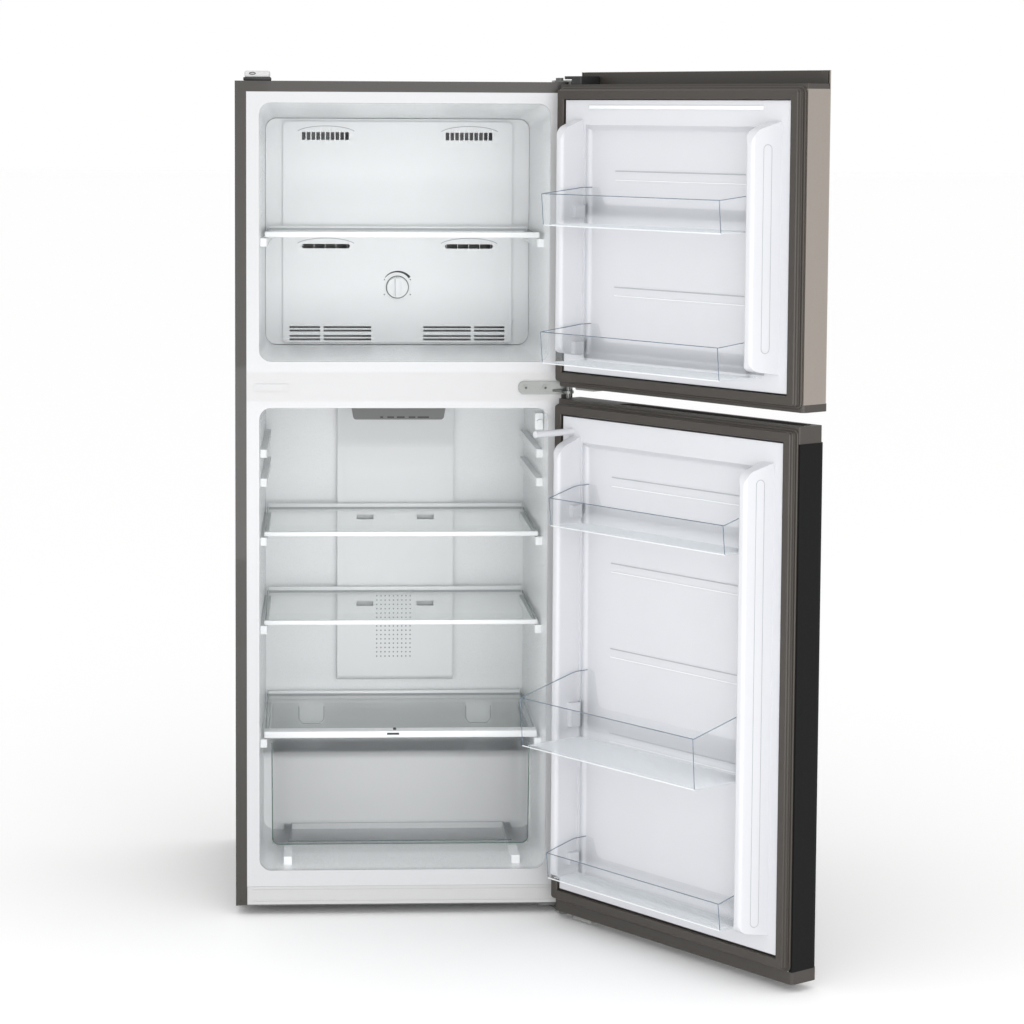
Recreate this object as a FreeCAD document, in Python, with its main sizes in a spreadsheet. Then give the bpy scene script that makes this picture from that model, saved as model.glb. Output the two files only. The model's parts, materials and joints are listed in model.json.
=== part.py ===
import FreeCAD, Part
import math
import os
from types import SimpleNamespace

import Sketcher
from FreeCAD import Placement, Rotation, Vector

# Top freezer refrigerator, in millimetres. +X is to the viewer's right, +Y goes from the
# front towards the wall behind, +Z is up. The origin is the middle of the front edge of the
# cabinet's underside. Both doors hang on the right. Each one is drawn shut and then turned
# about its hinge pins to the open rest position.

os.makedirs("parts", exist_ok=True)
doc = FreeCAD.newDocument("top_freezer_refrigerator")

# ----------------------------------------------------------------------------------------
# Driving dimensions
# ----------------------------------------------------------------------------------------

DIMENSIONS = [
    # cabinet
    ("cab_width", 568.0, "outside width of the steel cabinet"),
    ("cab_height", 1400.0, "top of the cabinet above its underside"),
    ("cab_depth", 540.0, "front flange to rear edge of the side panels"),
    ("sheet", 1.0, "thickness of the painted steel sheet"),
    ("flange_side", 19.0, "width of the front flange at the sides"),
    ("flange_top", 18.0, "height of the front flange at the top"),
    ("flange_rear", 14.0, "width of the rear flange"),
    ("floor_drop", 16.0, "floor below the underside of the cabinet"),
    ("liner_wall", 2.0, "thickness of the vacuum-formed liners"),
    ("opening_half", 244.0, "half width of both compartment openings"),
    ("opening_radius", 20.0, "corner radius of the openings"),
    ("frz_floor", 930.5, "bottom of the freezer opening"),
    ("frz_ceiling", 1364.0, "top of the freezer opening"),
    ("frz_back", 470.0, "depth of the freezer liner"),
    ("frg_floor", 60.5, "bottom of the fresh-food opening"),
    ("frg_ceiling", 852.5, "top of the fresh-food opening"),
    ("frg_back", 475.0, "depth of the fresh-food liner"),
    ("mullion_low", 863.8, "lower seam of the strip between the openings"),
    ("mullion_high", 913.4, "upper seam of the strip between the openings"),
    ("kick_top", 33.2, "top of the kick plate"),
    ("bay_front", 330.0, "foot of the compressor bay wall"),
    ("bay_top", 168.0, "roof of the compressor bay"),
    ("hump_front", 290.0, "foot of the step in the fresh-food liner"),
    ("hump_top", 198.0, "top of the step in the fresh-food liner"),
    # doors
    ("pivot_x", 274.4, "hinge axis, to the right of the centre line"),
    ("pivot_y", -29.9, "hinge axis, in front of the cabinet"),
    ("pin_radius", 4.0, "hinge pins"),
    ("pin_play", 0.15, "radial clearance of the hinge pins"),
    ("frz_angle", 126.5, "rest angle of the freezer door"),
    ("frg_angle", 125.9, "rest angle of the fridge door"),
    ("door_inner", -15.0, "inner edge of the door skins"),
    ("door_outer", -70.5, "front face of the door skins"),
    ("door_radius", 10.0, "front corner radius of the door skins"),
    ("gasket_gap", 0.4, "gap between gasket and flange with the door shut"),
    ("dike_depth", 60.0, "how far the side ribs of the door liners stand out"),
    ("dike_inner", 210.0, "inner edge of the rib crest"),
    ("dike_outer", 227.0, "outer edge of the rib crest"),
    # shelves and drawer
    ("shelf_front", 113.0, "front edge of the shelves"),
    ("shelf_rear", 466.0, "rear edge of the shelves"),
    ("shelf_half", 237.0, "half width of the shelves"),
    ("glass", 4.0, "thickness of the shelf glass"),
    ("drawer_wall", 2.5, "wall of the crisper drawer"),
    ("bin_wall", 2.2, "wall of the door bins"),
]

sheet = doc.addObject("Spreadsheet::Sheet", "sizes")


class Size:
    """A length that remembers the spreadsheet expression it comes from."""

    def __init__(self, value, text):
        self.value = value
        self.text = text

    def __add__(self, other):
        return combine(self, other, "+", lambda a, b: a + b)

    def __sub__(self, other):
        return combine(self, other, "-", lambda a, b: a - b)

    def __mul__(self, other):
        return combine(self, other, "*", lambda a, b: a * b)

    def __truediv__(self, other):
        return combine(self, other, "/", lambda a, b: a / b)

    def __radd__(self, other):
        return combine(other, self, "+", lambda a, b: a + b)

    def __rsub__(self, other):
        return combine(other, self, "-", lambda a, b: a - b)

    def __rmul__(self, other):
        return combine(other, self, "*", lambda a, b: a * b)

    def __neg__(self):
        return Size(-self.value, f"(0 - {self.text})")


def combine(left, right, sign, rule):
    return Size(rule(number(left), number(right)), f"({wording(left)} {sign} {wording(right)})")


def number(size):
    return size.value if isinstance(size, Size) else float(size)


def wording(size):
    return size.text if isinstance(size, Size) else f"{float(size):.6g}"


def fill_sheet():
    sizes = {}
    for row, (alias, value, note) in enumerate(DIMENSIONS, start=1):
        sheet.set(f"A{row}", note)
        sheet.set(f"B{row}", f"{value:g}")
        sheet.setAlias(f"B{row}", alias)
        sizes[alias] = Size(value, f"sizes.{alias}")
    doc.recompute()
    return SimpleNamespace(**sizes)


dim = fill_sheet()
half_width = dim.cab_width / 2


def bind(target, name, size):
    """Tie a property to the spreadsheet where the size comes from it."""
    if isinstance(size, Size):
        target.setExpression(name, size.text)


# ----------------------------------------------------------------------------------------
# Sketches: closed outlines of straight sides with optional rounded corners, and circles
# ----------------------------------------------------------------------------------------


def rectangle(x_low, y_low, x_high, y_high, radius=0):
    corners = [(x_low, y_low), (x_high, y_low), (x_high, y_high), (x_low, y_high)]
    return [(x, y, radius) for x, y in corners]


def circle(x, y, radius):
    return SimpleNamespace(x=x, y=y, radius=radius)


def draw_circle(sketch, ring):
    index = sketch.GeometryCount
    centre = Vector(number(ring.x), number(ring.y), 0)
    sketch.addGeometry(Part.Circle(centre, Vector(0, 0, 1), number(ring.radius)), False)
    rules = [
        ("Radius", (index,), ring.radius),
        ("DistanceX", (-1, 1, index, 3), ring.x),
        ("DistanceY", (-1, 1, index, 3), ring.y),
    ]
    constrain(sketch, rules)


def constrain(sketch, rules):
    """Add all rules at once, so that the outline is solved from its drawn shape."""
    made = []
    for kind, where, size in rules:
        values = where if size is None else where + (number(size),)
        made.append(Sketcher.Constraint(kind, *values))
    places = sketch.addConstraint(made)
    for place, (_, _, size) in zip(places, rules):
        bind(sketch, f"Constraints[{place}]", size)


def corner_points(before_point, here, after_point, radius):
    """Start, middle and end of the arc that rounds one corner."""
    before = (before_point - here).normalize()
    after = (after_point - here).normalize()
    half_angle = before.getAngle(after) / 2
    reach = radius / math.tan(half_angle)
    centre = here + (before + after).normalize() * (radius / math.sin(half_angle))
    middle = centre + (here - centre).normalize() * radius
    return here + before * reach, middle, here + after * reach


def round_arc(before_point, here, after_point, radius, turns_left):
    """The arc of a rounding, always drawn counterclockwise."""
    before = (before_point - here).normalize()
    after = (after_point - here).normalize()
    half_angle = before.getAngle(after) / 2
    reach = radius / math.tan(half_angle)
    centre = here + (before + after).normalize() * (radius / math.sin(half_angle))
    angles = []
    for side in (before, after) if turns_left else (after, before):
        spoke = here + side * reach - centre
        angles.append(math.atan2(spoke.y, spoke.x))
    if angles[1] < angles[0]:
        angles[1] += 2 * math.pi
    ring = Part.Circle(centre, Vector(0, 0, 1), radius)
    return Part.ArcOfCircle(ring, angles[0], angles[1])


def tangent_point(corner, point, toward, reach_share):
    """Where a rounding starts on one side: its x and y, still tied to the corner's sizes."""
    direction = (toward - point).normalize()
    x = corner[0] + corner[2] * round(direction.x * reach_share, 9)
    y = corner[1] + corner[2] * round(direction.y * reach_share, 9)
    return x, y


def draw_loop(sketch, corners):
    """Straight sides between fixed points, and an arc between two of them at each rounding."""
    points = [Vector(number(c[0]), number(c[1]), 0) for c in corners]
    count = len(points)
    firsts = []
    lasts = []
    arcs = {}
    for index, corner in enumerate(corners):
        firsts.append(corner[:2])
        lasts.append(corner[:2])
        if len(corner) > 2 and number(corner[2]) > 0:
            here, before, after = points[index], points[index - 1], points[(index + 1) % count]
            share = 1 / math.tan((before - here).getAngle(after - here) / 2)
            firsts[index] = tangent_point(corner, here, before, share)
            lasts[index] = tangent_point(corner, here, after, share)
            turns_left = (here - before).cross(after - here).z > 0
            arcs[index] = turns_left, round_arc(before, here, after, number(corner[2]), turns_left)
    base = sketch.GeometryCount
    rules = []
    for index in range(count):
        start, end = lasts[index], firsts[(index + 1) % count]
        sketch.addGeometry(Part.LineSegment(as_point(start), as_point(end)), False)
        rules += fixed_at(base + index, 1, start)
        if (index + 1) % count in arcs:
            rules += fixed_at(base + index, 2, end)
    for index in range(count):
        side_in = base + (index - 1) % count
        side_out = base + index
        if index not in arcs:
            rules.append(("Coincident", (side_in, 2, side_out, 1), None))
            continue
        arc = sketch.GeometryCount
        turns_left, drawn = arcs[index]
        sketch.addGeometry(drawn, False)
        into, out = (1, 2) if turns_left else (2, 1)
        rules.append(("Coincident", (side_in, 2, arc, into), None))
        rules.append(("Coincident", (arc, out, side_out, 1), None))
        rules.append(("Radius", (arc,), corners[index][2]))
    constrain(sketch, rules)


def as_point(place):
    return Vector(number(place[0]), number(place[1]), 0)


def fixed_at(geometry, end, place):
    return [
        ("DistanceX", (-1, 1, geometry, end), place[0]),
        ("DistanceY", (-1, 1, geometry, end), place[1]),
    ]


# ----------------------------------------------------------------------------------------
# Bodies. A view names the plane that an outline is drawn on and the way it is extruded:
# "top" draws X and Y and goes up, "front" draws X and Z and goes back, "side" draws Y and Z
# and goes right. Start is where the extrusion begins along that direction.
# ----------------------------------------------------------------------------------------

VIEWS = {
    "top": SimpleNamespace(role="XY_Plane", sign=1),
    "front": SimpleNamespace(role="XZ_Plane", sign=-1),
    "side": SimpleNamespace(role="YZ_Plane", sign=1),
}


def new_body(name):
    body = doc.addObject("PartDesign::Body", name)
    body.Label = name
    body.AllowCompound = True
    return body


def add_sketch(body, view, start, loops):
    plane = next(f for f in body.Origin.OriginFeatures if f.Role == VIEWS[view].role)
    sketch = body.newObject("Sketcher::SketchObject", "outline")
    sketch.AttachmentSupport = (plane, [""])
    sketch.MapMode = "FlatFace"
    offset = start * VIEWS[view].sign
    sketch.AttachmentOffset = Placement(Vector(0, 0, number(offset)), Rotation())
    bind(sketch, "AttachmentOffset.Base.z", offset)
    for loop in loops:
        if isinstance(loop, SimpleNamespace):
            draw_circle(sketch, loop)
        else:
            draw_loop(sketch, loop)
    return sketch


def pad(body, view, start, length, *loops):
    feature = body.newObject("PartDesign::Pad", "pad")
    feature.Profile = add_sketch(body, view, start, loops)
    feature.Length = number(length)
    bind(feature, "Length", length)
    feature.Reversed = VIEWS[view].sign < 0
    return feature


def pocket(body, view, start, length, *loops):
    feature = body.newObject("PartDesign::Pocket", "pocket")
    feature.Profile = add_sketch(body, view, start, loops)
    feature.Length = number(length)
    bind(feature, "Length", length)
    feature.Reversed = VIEWS[view].sign > 0
    return feature


def revolve(body, axis_at, direction, outline):
    """A turned piece: outline is (radius, distance along the axis), from the point axis_at."""
    feature = body.newObject("PartDesign::Revolution", "turned")
    view = "front" if direction == "up" else "top"
    sketch = add_sketch(body, view, 0, [outline])
    feature.Profile = sketch
    feature.ReferenceAxis = (sketch, ["V_Axis"])
    feature.Angle = 360
    body.Placement = Placement(Vector(*[number(v) for v in axis_at]), Rotation())
    for name, size in zip("xyz", axis_at):
        bind(body, f"Placement.Base.{name}", size)
    return feature


def plate(name, view, start, length, *loops):
    """A body that is one extrusion."""
    body = new_body(name)
    pad(body, view, start, length, *loops)
    return body


def block(name, x, y, z):
    """A plain box between two values on each axis."""
    return plate(name, "top", z[0], z[1] - z[0], rectangle(x[0], y[0], x[1], y[1]))


def join(name, pieces):
    fused = doc.addObject("Part::MultiFuse", name)
    fused.Shapes = pieces
    fused.Label = name
    return fused


def cut(name, base, *tools):
    result = base
    for index, tool in enumerate(tools):
        last = index == len(tools) - 1
        step = doc.addObject("Part::Cut", name if last else f"{name}_step")
        step.Base = result
        step.Tool = tool
        step.Label = name if last else f"{name}_step_{index}"
        result = step
    return result


def common(name, first, second):
    both = doc.addObject("Part::MultiCommon", name)
    both.Shapes = [first, second]
    both.Label = name
    return both


def loft(name, front, front_at, back, back_at):
    """A straight-sided taper between two outlines drawn in the front view."""
    body = new_body(name)
    feature = body.newObject("PartDesign::AdditiveLoft", "taper")
    feature.Profile = add_sketch(body, "front", front_at, [front])
    feature.Sections = [(add_sketch(body, "front", back_at, [back]), [""])]
    feature.Ruled = True
    return body


kept = {}


def keep(piece, name=None):
    """Mark a document object as one finished sub-part, exported under its label."""
    piece.Label = name or piece.Label
    kept[piece.Label] = piece
    return piece


# ----------------------------------------------------------------------------------------
# Cabinet
# ----------------------------------------------------------------------------------------

inside_half = half_width - dim.sheet
inside_top = dim.cab_height - dim.sheet
shell_front_half = half_width - dim.flange_side
shell_front_top = dim.cab_height - dim.flange_top


def arch(half, top, inner_half, inner_top, low):
    """An upside-down U, open at the bottom."""
    return [
        (-half, low),
        (-inner_half, low),
        (-inner_half, inner_top),
        (inner_half, inner_top),
        (inner_half, low),
        (half, low),
        (half, top),
        (-half, top),
    ]


def make_outer_shell():
    body = new_body("outer_shell")
    walls = arch(half_width, dim.cab_height, inside_half, inside_top, dim.sheet)
    pad(body, "front", 0, dim.cab_depth, walls)
    front = arch(half_width, dim.cab_height, shell_front_half, shell_front_top, dim.sheet)
    pad(body, "front", 0, dim.sheet, front)
    rear_half = half_width - dim.flange_rear
    rear = arch(half_width, dim.cab_height, rear_half, dim.cab_height - dim.flange_rear, dim.sheet)
    pad(body, "front", dim.cab_depth - dim.sheet, dim.sheet, rear)
    return keep(body)


def make_back_panel():
    body = new_body("back_panel")
    low = dim.bay_top + 24
    panel = rectangle(-(inside_half - 1), low, inside_half - 1, inside_top - 1, 4)
    pad(body, "front", dim.cab_depth, dim.sheet, panel)
    bead_length = dim.cab_height - 340
    for step in range(5):
        middle = -200 + step * 100
        bead = rectangle(middle - 11, 260, middle + 11, 260 + bead_length, 10)
        pad(body, "front", dim.cab_depth + dim.sheet, 2.5, bead)
    return keep(body)


FOOT_X = 220
FOOT_Y = 82
FOOT_BORE = 5.06
HINGE_SEAT = 0.4


def bent_floor(thickness, rise):
    """Side view of the cabinet floor, which steps up over the compressor bay."""
    start = dim.bay_front
    roof = dim.bay_top + rise
    return [
        (0, rise),
        (start - rise * 0.5, rise),
        (start - rise * 0.5 + 18, roof),
        (dim.cab_depth - dim.sheet - 0.5, roof),
        (dim.cab_depth - dim.sheet - 0.5, roof + thickness),
        (start - rise * 0.5 + 17, roof + thickness),
        (start - rise * 0.5 - 1, rise + thickness),
        (0, rise + thickness),
    ]


def make_bottom_plate():
    body = new_body("bottom_plate")
    floor = rectangle(-half_width, 0, half_width, dim.bay_front)
    pad(body, "top", 0, dim.sheet, floor)
    roof = bent_floor(dim.sheet, 0)
    pad(body, "side", -(inside_half - 0.5), 2 * inside_half - 1, roof)
    for side in (-1, 1):
        pocket(body, "top", 0, dim.sheet, circle(side * FOOT_X, FOOT_Y, FOOT_BORE))
    pocket(body, "top", -1, 1 + HINGE_SEAT, rectangle(226, -1, half_width + 1, 68))
    return keep(body)


ROLLER_Y = 502
ROLLER_Z = 6


def make_compressor_plate():
    body = new_body("compressor_plate")
    front = dim.bay_front + 4
    rear = dim.cab_depth - 3
    half = half_width - 4
    pad(body, "top", 0, 2, rectangle(-half, front, half, rear))
    for side in (-1, 1):
        outer = side * half
        inner = side * (half - 2)
        ear = rectangle(min_of(outer, inner), front, max_of(outer, inner), rear)
        pad(body, "top", 0, 34, ear)
    for side in (-1, 1):
        middle = side * (half - 26)
        slot = rectangle(middle - 11, rear - 62, middle + 11, rear - 8)
        pocket(body, "top", 0, 2, slot)
        for ear_side in (-1, 1):
            wall = middle + ear_side * 12.5
            ear = rectangle(wall - 1, rear - 50, wall + 1, rear - 20)
            pad(body, "top", 0, 20, ear)
        axle = circle(ROLLER_Y, ROLLER_Z, 3.1)
        pocket(body, "side", middle - 14, 28, axle)
    return keep(body)


def min_of(first, second):
    return first if number(first) < number(second) else second


def max_of(first, second):
    return second if number(first) < number(second) else first


def make_front_rail():
    """Channel behind the kick plate, with a threaded boss for each levelling foot."""
    body = new_body("front_rail")
    half = shell_front_half - 3
    pad(body, "top", dim.sheet, 2, rectangle(-half, 6, half, 104))
    pad(body, "top", dim.sheet, 26, rectangle(-half, 4, half, 6))
    for side in (-1, 1):
        pad(body, "top", dim.sheet + 2, 16, circle(side * FOOT_X, FOOT_Y, 11))
    for side in (-1, 1):
        pocket(body, "top", dim.sheet, 18, circle(side * FOOT_X, FOOT_Y, FOOT_BORE))
    return keep(body)


def make_foot(side_name, side):
    """Threaded levelling foot, flush pad below and spindle in the rail's boss."""
    body = new_body(f"levelling_foot_{side_name}")
    outline = [(0, 0), (14, 0), (14, 7), (9, 11), (5, 13), (5, 40), (4, 42), (0, 42)]
    revolve(body, (side * FOOT_X, FOOT_Y, -dim.floor_drop), "up", outline)
    return keep(body)


FREEZER_DRAFT = 8
FREEZER_CEILING_FALL = 33
FRIDGE_DRAFT = 6
FRIDGE_CEILING_FALL = 6


def freezer_space(name, grow, front_at):
    """The tapered volume of the freezer compartment, grown outwards by a wall thickness."""
    radius = dim.opening_radius + grow
    half = dim.opening_half + grow
    front = rectangle(-half, dim.frz_floor - grow, half, dim.frz_ceiling + grow, radius)
    low = dim.frz_floor - 1.5 - grow
    high = dim.frz_ceiling - FREEZER_CEILING_FALL + grow
    back_half = half - FREEZER_DRAFT
    back = rectangle(-back_half, low, back_half, high, radius)
    return loft(name, front, front_at, back, dim.frz_back + grow)


def fridge_space(name, grow, front_at):
    """The tapered fresh-food volume before the step over the compressor is taken out."""
    radius = dim.opening_radius + grow
    half = dim.opening_half + grow
    front = rectangle(-half, dim.frg_floor - grow, half, dim.frg_ceiling + grow, radius)
    low = dim.frg_floor + 1.5 - grow
    high = dim.frg_ceiling - FRIDGE_CEILING_FALL + grow
    back_half = half - FRIDGE_DRAFT
    back = rectangle(-back_half, low, back_half, high, radius)
    return loft(name, front, front_at, back, dim.frg_back + grow)


def hump(name, grow):
    """The step over the compressor, shrunk away from the food side by a wall thickness."""
    foot = dim.hump_front + grow
    top = dim.hump_top - grow
    outline = [
        (foot, dim.frg_floor - 30),
        (foot + 18, top, 14),
        (dim.frg_back + 30, top),
        (dim.frg_back + 30, dim.frg_floor - 30),
    ]
    return plate(name, "side", -half_width, dim.cab_width, outline)


def make_freezer_liner():
    tub = freezer_space("freezer_tub", dim.liner_wall, 0)
    hollow = freezer_space("freezer_hollow", 0, -1)
    rim = plate(
        "freezer_rim",
        "front",
        0,
        dim.liner_wall,
        rectangle(-shell_front_half, dim.mullion_high, shell_front_half, shell_front_top),
    )
    whole = join("freezer_form", [rim, tub])
    open_liner = cut("freezer_liner_open", whole, hollow)
    rests = shelf_rests("freezer_rests", [1119.0], FREEZER_DRAFT / number(dim.frz_back), COVER_Y - 5)
    return keep(join("freezer_liner", [open_liner] + rests)), tub


REST_HEIGHT = 14
REST_STANDOUT = 11


def shelf_rests(name, levels, draft, end):
    """Ledges on both side walls, following the draft of the walls."""
    rests = []
    start = dim.shelf_front - 6
    for count, level in enumerate(levels):
        for side in (-1, 1):
            wall_front = side * (dim.opening_half - start * draft)
            wall_rear = side * (dim.opening_half - end * draft)
            outline = [
                (wall_front + side * 1, start),
                (wall_rear + side * 1, end),
                (wall_rear - side * REST_STANDOUT, end, 4),
                (wall_front - side * REST_STANDOUT, start, 4),
            ]
            side_name = "left" if side < 0 else "right"
            rests.append(plate(f"{name}_{side_name}_{count}", "top", level, REST_HEIGHT, outline))
    return rests


FRIDGE_REST_LEVELS = [756.0, 706.0, 603.5, 449.5, 250.5]


def make_fridge_liner():
    tub_block = fridge_space("fridge_tub_block", dim.liner_wall, 0)
    tub = cut("fridge_tub", tub_block, hump("hump_outside", dim.liner_wall))
    hollow_block = fridge_space("fridge_hollow_block", 0, -1)
    hollow = cut("fridge_hollow", hollow_block, hump("hump_inside", 0))
    rim = plate(
        "fridge_rim",
        "front",
        0,
        dim.liner_wall,
        rectangle(-shell_front_half, dim.kick_top, shell_front_half, dim.mullion_low),
    )
    whole = join("fridge_form", [rim, tub])
    open_liner = cut("fridge_liner_open", whole, hollow)
    draft = FRIDGE_DRAFT / number(dim.frg_back)
    rests = shelf_rests("fridge_rests", FRIDGE_REST_LEVELS, draft, dim.shelf_rear - 30)
    runners = []
    for side in (-1, 1):
        side_name = "left" if side < 0 else "right"
        x = (side * 196 - 7, side * 196 + 7)
        runners.append(block(f"drawer_runner_{side_name}", x, (40, 280), (dim.frg_floor - 1, 74.5)))
    return keep(join("fridge_liner", [open_liner] + rests + runners)), tub


def make_cabinet_foam(freezer_tub, fridge_tub):
    """Rigid foam: the shell's inside less both tubs, the compressor bay and the front strip."""
    gap = 0.5
    fill = block(
        "foam_fill",
        (-(inside_half - gap), inside_half - gap),
        (dim.liner_wall + gap, dim.cab_depth - dim.sheet - gap),
        (dim.kick_top, inside_top - gap),
    )
    bay = plate(
        "foam_bay",
        "side",
        -half_width,
        dim.cab_width,
        [
            (dim.bay_front - 3, 0),
            (dim.bay_front + 15, dim.bay_top + 2),
            (dim.cab_depth, dim.bay_top + 2),
            (dim.cab_depth, 0),
        ],
    )
    coil_room = block("foam_coil_room", (-250, 250), (519, dim.cab_depth), (210, 1370))
    foam = cut("cabinet_foam", fill, freezer_tub, fridge_tub, bay, coil_room)
    return keep(foam)


def make_front_strips():
    body = new_body("mullion_cover")
    strip = rectangle(-shell_front_half, dim.mullion_low, shell_front_half, dim.mullion_high)
    pad(body, "front", 0, dim.liner_wall, strip)
    pocket(body, "front", 0, dim.liner_wall, rectangle(-249, 883, -198, 891.5))
    keep(body)
    plug = new_body("mullion_plug")
    pad(plug, "front", -1.6, 1.6, rectangle(-252.5, 881.3, -195, 893.1, 2.5))
    pad(plug, "front", 0, 2.2, rectangle(-248.6, 883.4, -198.4, 891.1))
    keep(plug)
    kick = new_body("kick_plate")
    pad(kick, "front", 0.8, 2.2, rectangle(-(shell_front_half - 0.3), 1.4, shell_front_half - 0.3, 32.8))
    for level in (7, 27):
        rib = rectangle(-(shell_front_half - 8), level, shell_front_half - 8, level + 1.6)
        pocket(kick, "front", 0.8, 0.6, rib)
    keep(kick)


# ----------------------------------------------------------------------------------------
# Hinges
# ----------------------------------------------------------------------------------------

FRIDGE_DOOR_LOW = -2.2
FRIDGE_DOOR_HIGH = 872.0
FREEZER_DOOR_LOW = 893.0
FREEZER_DOOR_HIGH = 1396.0
TONGUE = 4


def tongue_outline(inner_x, rear_y):
    """Flat arm from the cabinet to a round end about the hinge axis."""
    end = dim.pivot_y - 9
    return [
        (inner_x, rear_y),
        (dim.pivot_x - 9, dim.pivot_y + 12, 6),
        (dim.pivot_x - 9, end, 8),
        (half_width - 0.6, end, 8),
        (half_width - 0.6, rear_y),
    ]


def make_top_hinge():
    body = new_body("top_hinge")
    outline = [
        (250, 66, 6),
        (250, 4, 4),
        (dim.pivot_x - 9, -12, 6),
        (dim.pivot_x - 9, dim.pivot_y - 9, 8),
        (half_width - 0.6, dim.pivot_y - 9, 8),
        (half_width - 0.6, 66, 6),
    ]
    pad(body, "top", dim.cab_height, 3, outline)
    pin_low = FREEZER_DOOR_HIGH - 16
    pad(body, "top", pin_low, dim.cab_height - pin_low, circle(dim.pivot_x, dim.pivot_y, dim.pin_radius))
    for x, y in TOP_SCREWS:
        pocket(body, "top", dim.cab_height, 3, circle(x, y, 2.7))
    return keep(body)


TOP_SCREWS = [(261, 14), (261, 34), (261, 54)]
MIDDLE_SCREWS = [(205, 887.2), (238, 887.2)]
BOTTOM_SCREWS = [(239, 50), (266, 50)]


def make_middle_hinge():
    body = new_body("middle_hinge")
    end = half_width - 1
    back = [(192, 876.3, 9), (end, 876.3, 3), (end, 898.3, 3), (192, 898.3, 9)]
    pad(body, "front", -3, 3, back)
    low = 880.6
    pad(body, "top", low, TONGUE, tongue_outline(250, -3))
    axis = circle(dim.pivot_x, dim.pivot_y, dim.pin_radius)
    pad(body, "top", FRIDGE_DOOR_HIGH - 15, FREEZER_DOOR_LOW + 15 - (FRIDGE_DOOR_HIGH - 15), axis)
    for x, z in MIDDLE_SCREWS:
        pocket(body, "front", -3, 3, circle(x, z, 2.7))
    return keep(body)


def make_bottom_hinge():
    """Foot plate screwed up into the cabinet floor, and an arm one step below it for the pin."""
    body = new_body("bottom_hinge")
    low = FRIDGE_DOOR_LOW - 6.4
    arm_top = low + TONGUE
    thick = HINGE_SEAT - arm_top
    pad(body, "top", arm_top, thick, rectangle(232, 5, half_width - 4, 62, 4))
    pad(body, "top", low, TONGUE, tongue_outline(246, 40))
    pin = circle(dim.pivot_x, dim.pivot_y, dim.pin_radius)
    pad(body, "top", low, FRIDGE_DOOR_LOW + 13 - low, pin)
    for x, y in BOTTOM_SCREWS:
        pocket(body, "top", arm_top, thick, circle(x, y, 2.7))
    return keep(body)


def make_hinge_screws():
    """Pan-head screws, all alike: three above, two at the middle and two below."""
    body = new_body("hinge_screws")
    for x, y in TOP_SCREWS:
        pad(body, "top", dim.cab_height + 3, 4.4, circle(x, y, 4.8))
        pad(body, "top", dim.cab_height, 3, circle(x, y, 2.4))
    for x, z in MIDDLE_SCREWS:
        pad(body, "front", -5.2, 2.2, circle(x, z, 4.8))
        pad(body, "front", -3, 3, circle(x, z, 2.4))
    low = FRIDGE_DOOR_LOW - 6.4 + TONGUE
    for x, y in BOTTOM_SCREWS:
        pad(body, "top", low - 2.2, 2.2, circle(x, y, 4.8))
        pad(body, "top", low, HINGE_SEAT - low, circle(x, y, 2.4))
    return keep(body)


def make_top_trims():
    """Cover over the top hinge pin, which turns with the door, and the cap on the left."""
    cover = new_body("top_hinge_cover")
    front = dim.door_outer + 8.5
    rear = dim.pivot_y + 11
    roof = dim.cab_height + 4.6
    pad(cover, "top", FREEZER_DOOR_HIGH, roof - FREEZER_DOOR_HIGH, rectangle(238, front, 262, rear, 3))
    outline = [(238, front, 3), (half_width - 0.6, front, 4), (half_width - 0.6, rear, 9), (238, rear, 3)]
    pad(cover, "top", roof, 5, outline)
    keep(cover)
    cap = new_body("hinge_hole_cap")
    pad(cap, "top", dim.cab_height, 6, rectangle(-270, 8, -223.5, 62, 5))
    pad(cap, "top", dim.cab_height + 6, 10.6, rectangle(-268, 10, -225.5, 60, 6))
    keep(cap)


# ----------------------------------------------------------------------------------------
# Cooling system
# ----------------------------------------------------------------------------------------

COMPRESSOR_X = -70
COMPRESSOR_Y = 440


def make_compressor():
    body = new_body("compressor")
    outline = [(0, 22), (52, 22), (70, 36, 12), (74, 74), (70, 104, 14), (44, 122), (0, 126)]
    revolve(body, (COMPRESSOR_X, COMPRESSOR_Y, 0), "up", outline)
    shell = keep(body)
    frame_plate = new_body("compressor_base")
    pad(frame_plate, "top", 19, 3, rectangle(-82, -62, 82, 62, 12))
    frame_plate.Placement = Placement(Vector(COMPRESSOR_X, COMPRESSOR_Y, 0), Rotation())
    terminal = block("compressor_terminal", (8, 34), (408, 472), (34, 88))
    stub = plate("compressor_stub", "front", 356, 40, circle(COMPRESSOR_X - 20, 96, 4.5))
    kept.pop("compressor")
    shell.Label = "compressor_shell"
    return keep(join("compressor", [shell, frame_plate, terminal, stub]))


def make_compressor_mounts():
    body = new_body("compressor_mounts")
    for x_side in (-1, 1):
        for y_side in (-1, 1):
            x = COMPRESSOR_X + x_side * 68
            y = COMPRESSOR_Y + y_side * 48
            pad(body, "top", 2, 17, circle(x, y, 10))
    return keep(body)


def tube_path(points, radius):
    """Centre line of a bent tube: straight runs joined by tangent arcs of one radius."""
    edges = []
    start = points[0]
    for index in range(1, len(points) - 1):
        first, middle, last = corner_points(points[index - 1], points[index], points[index + 1], radius)
        edges.append(Part.LineSegment(start, first).toShape())
        edges.append(Part.Arc(first, middle, last).toShape())
        start = last
    edges.append(Part.LineSegment(start, points[-1]).toShape())
    return Part.Wire(edges)


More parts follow.
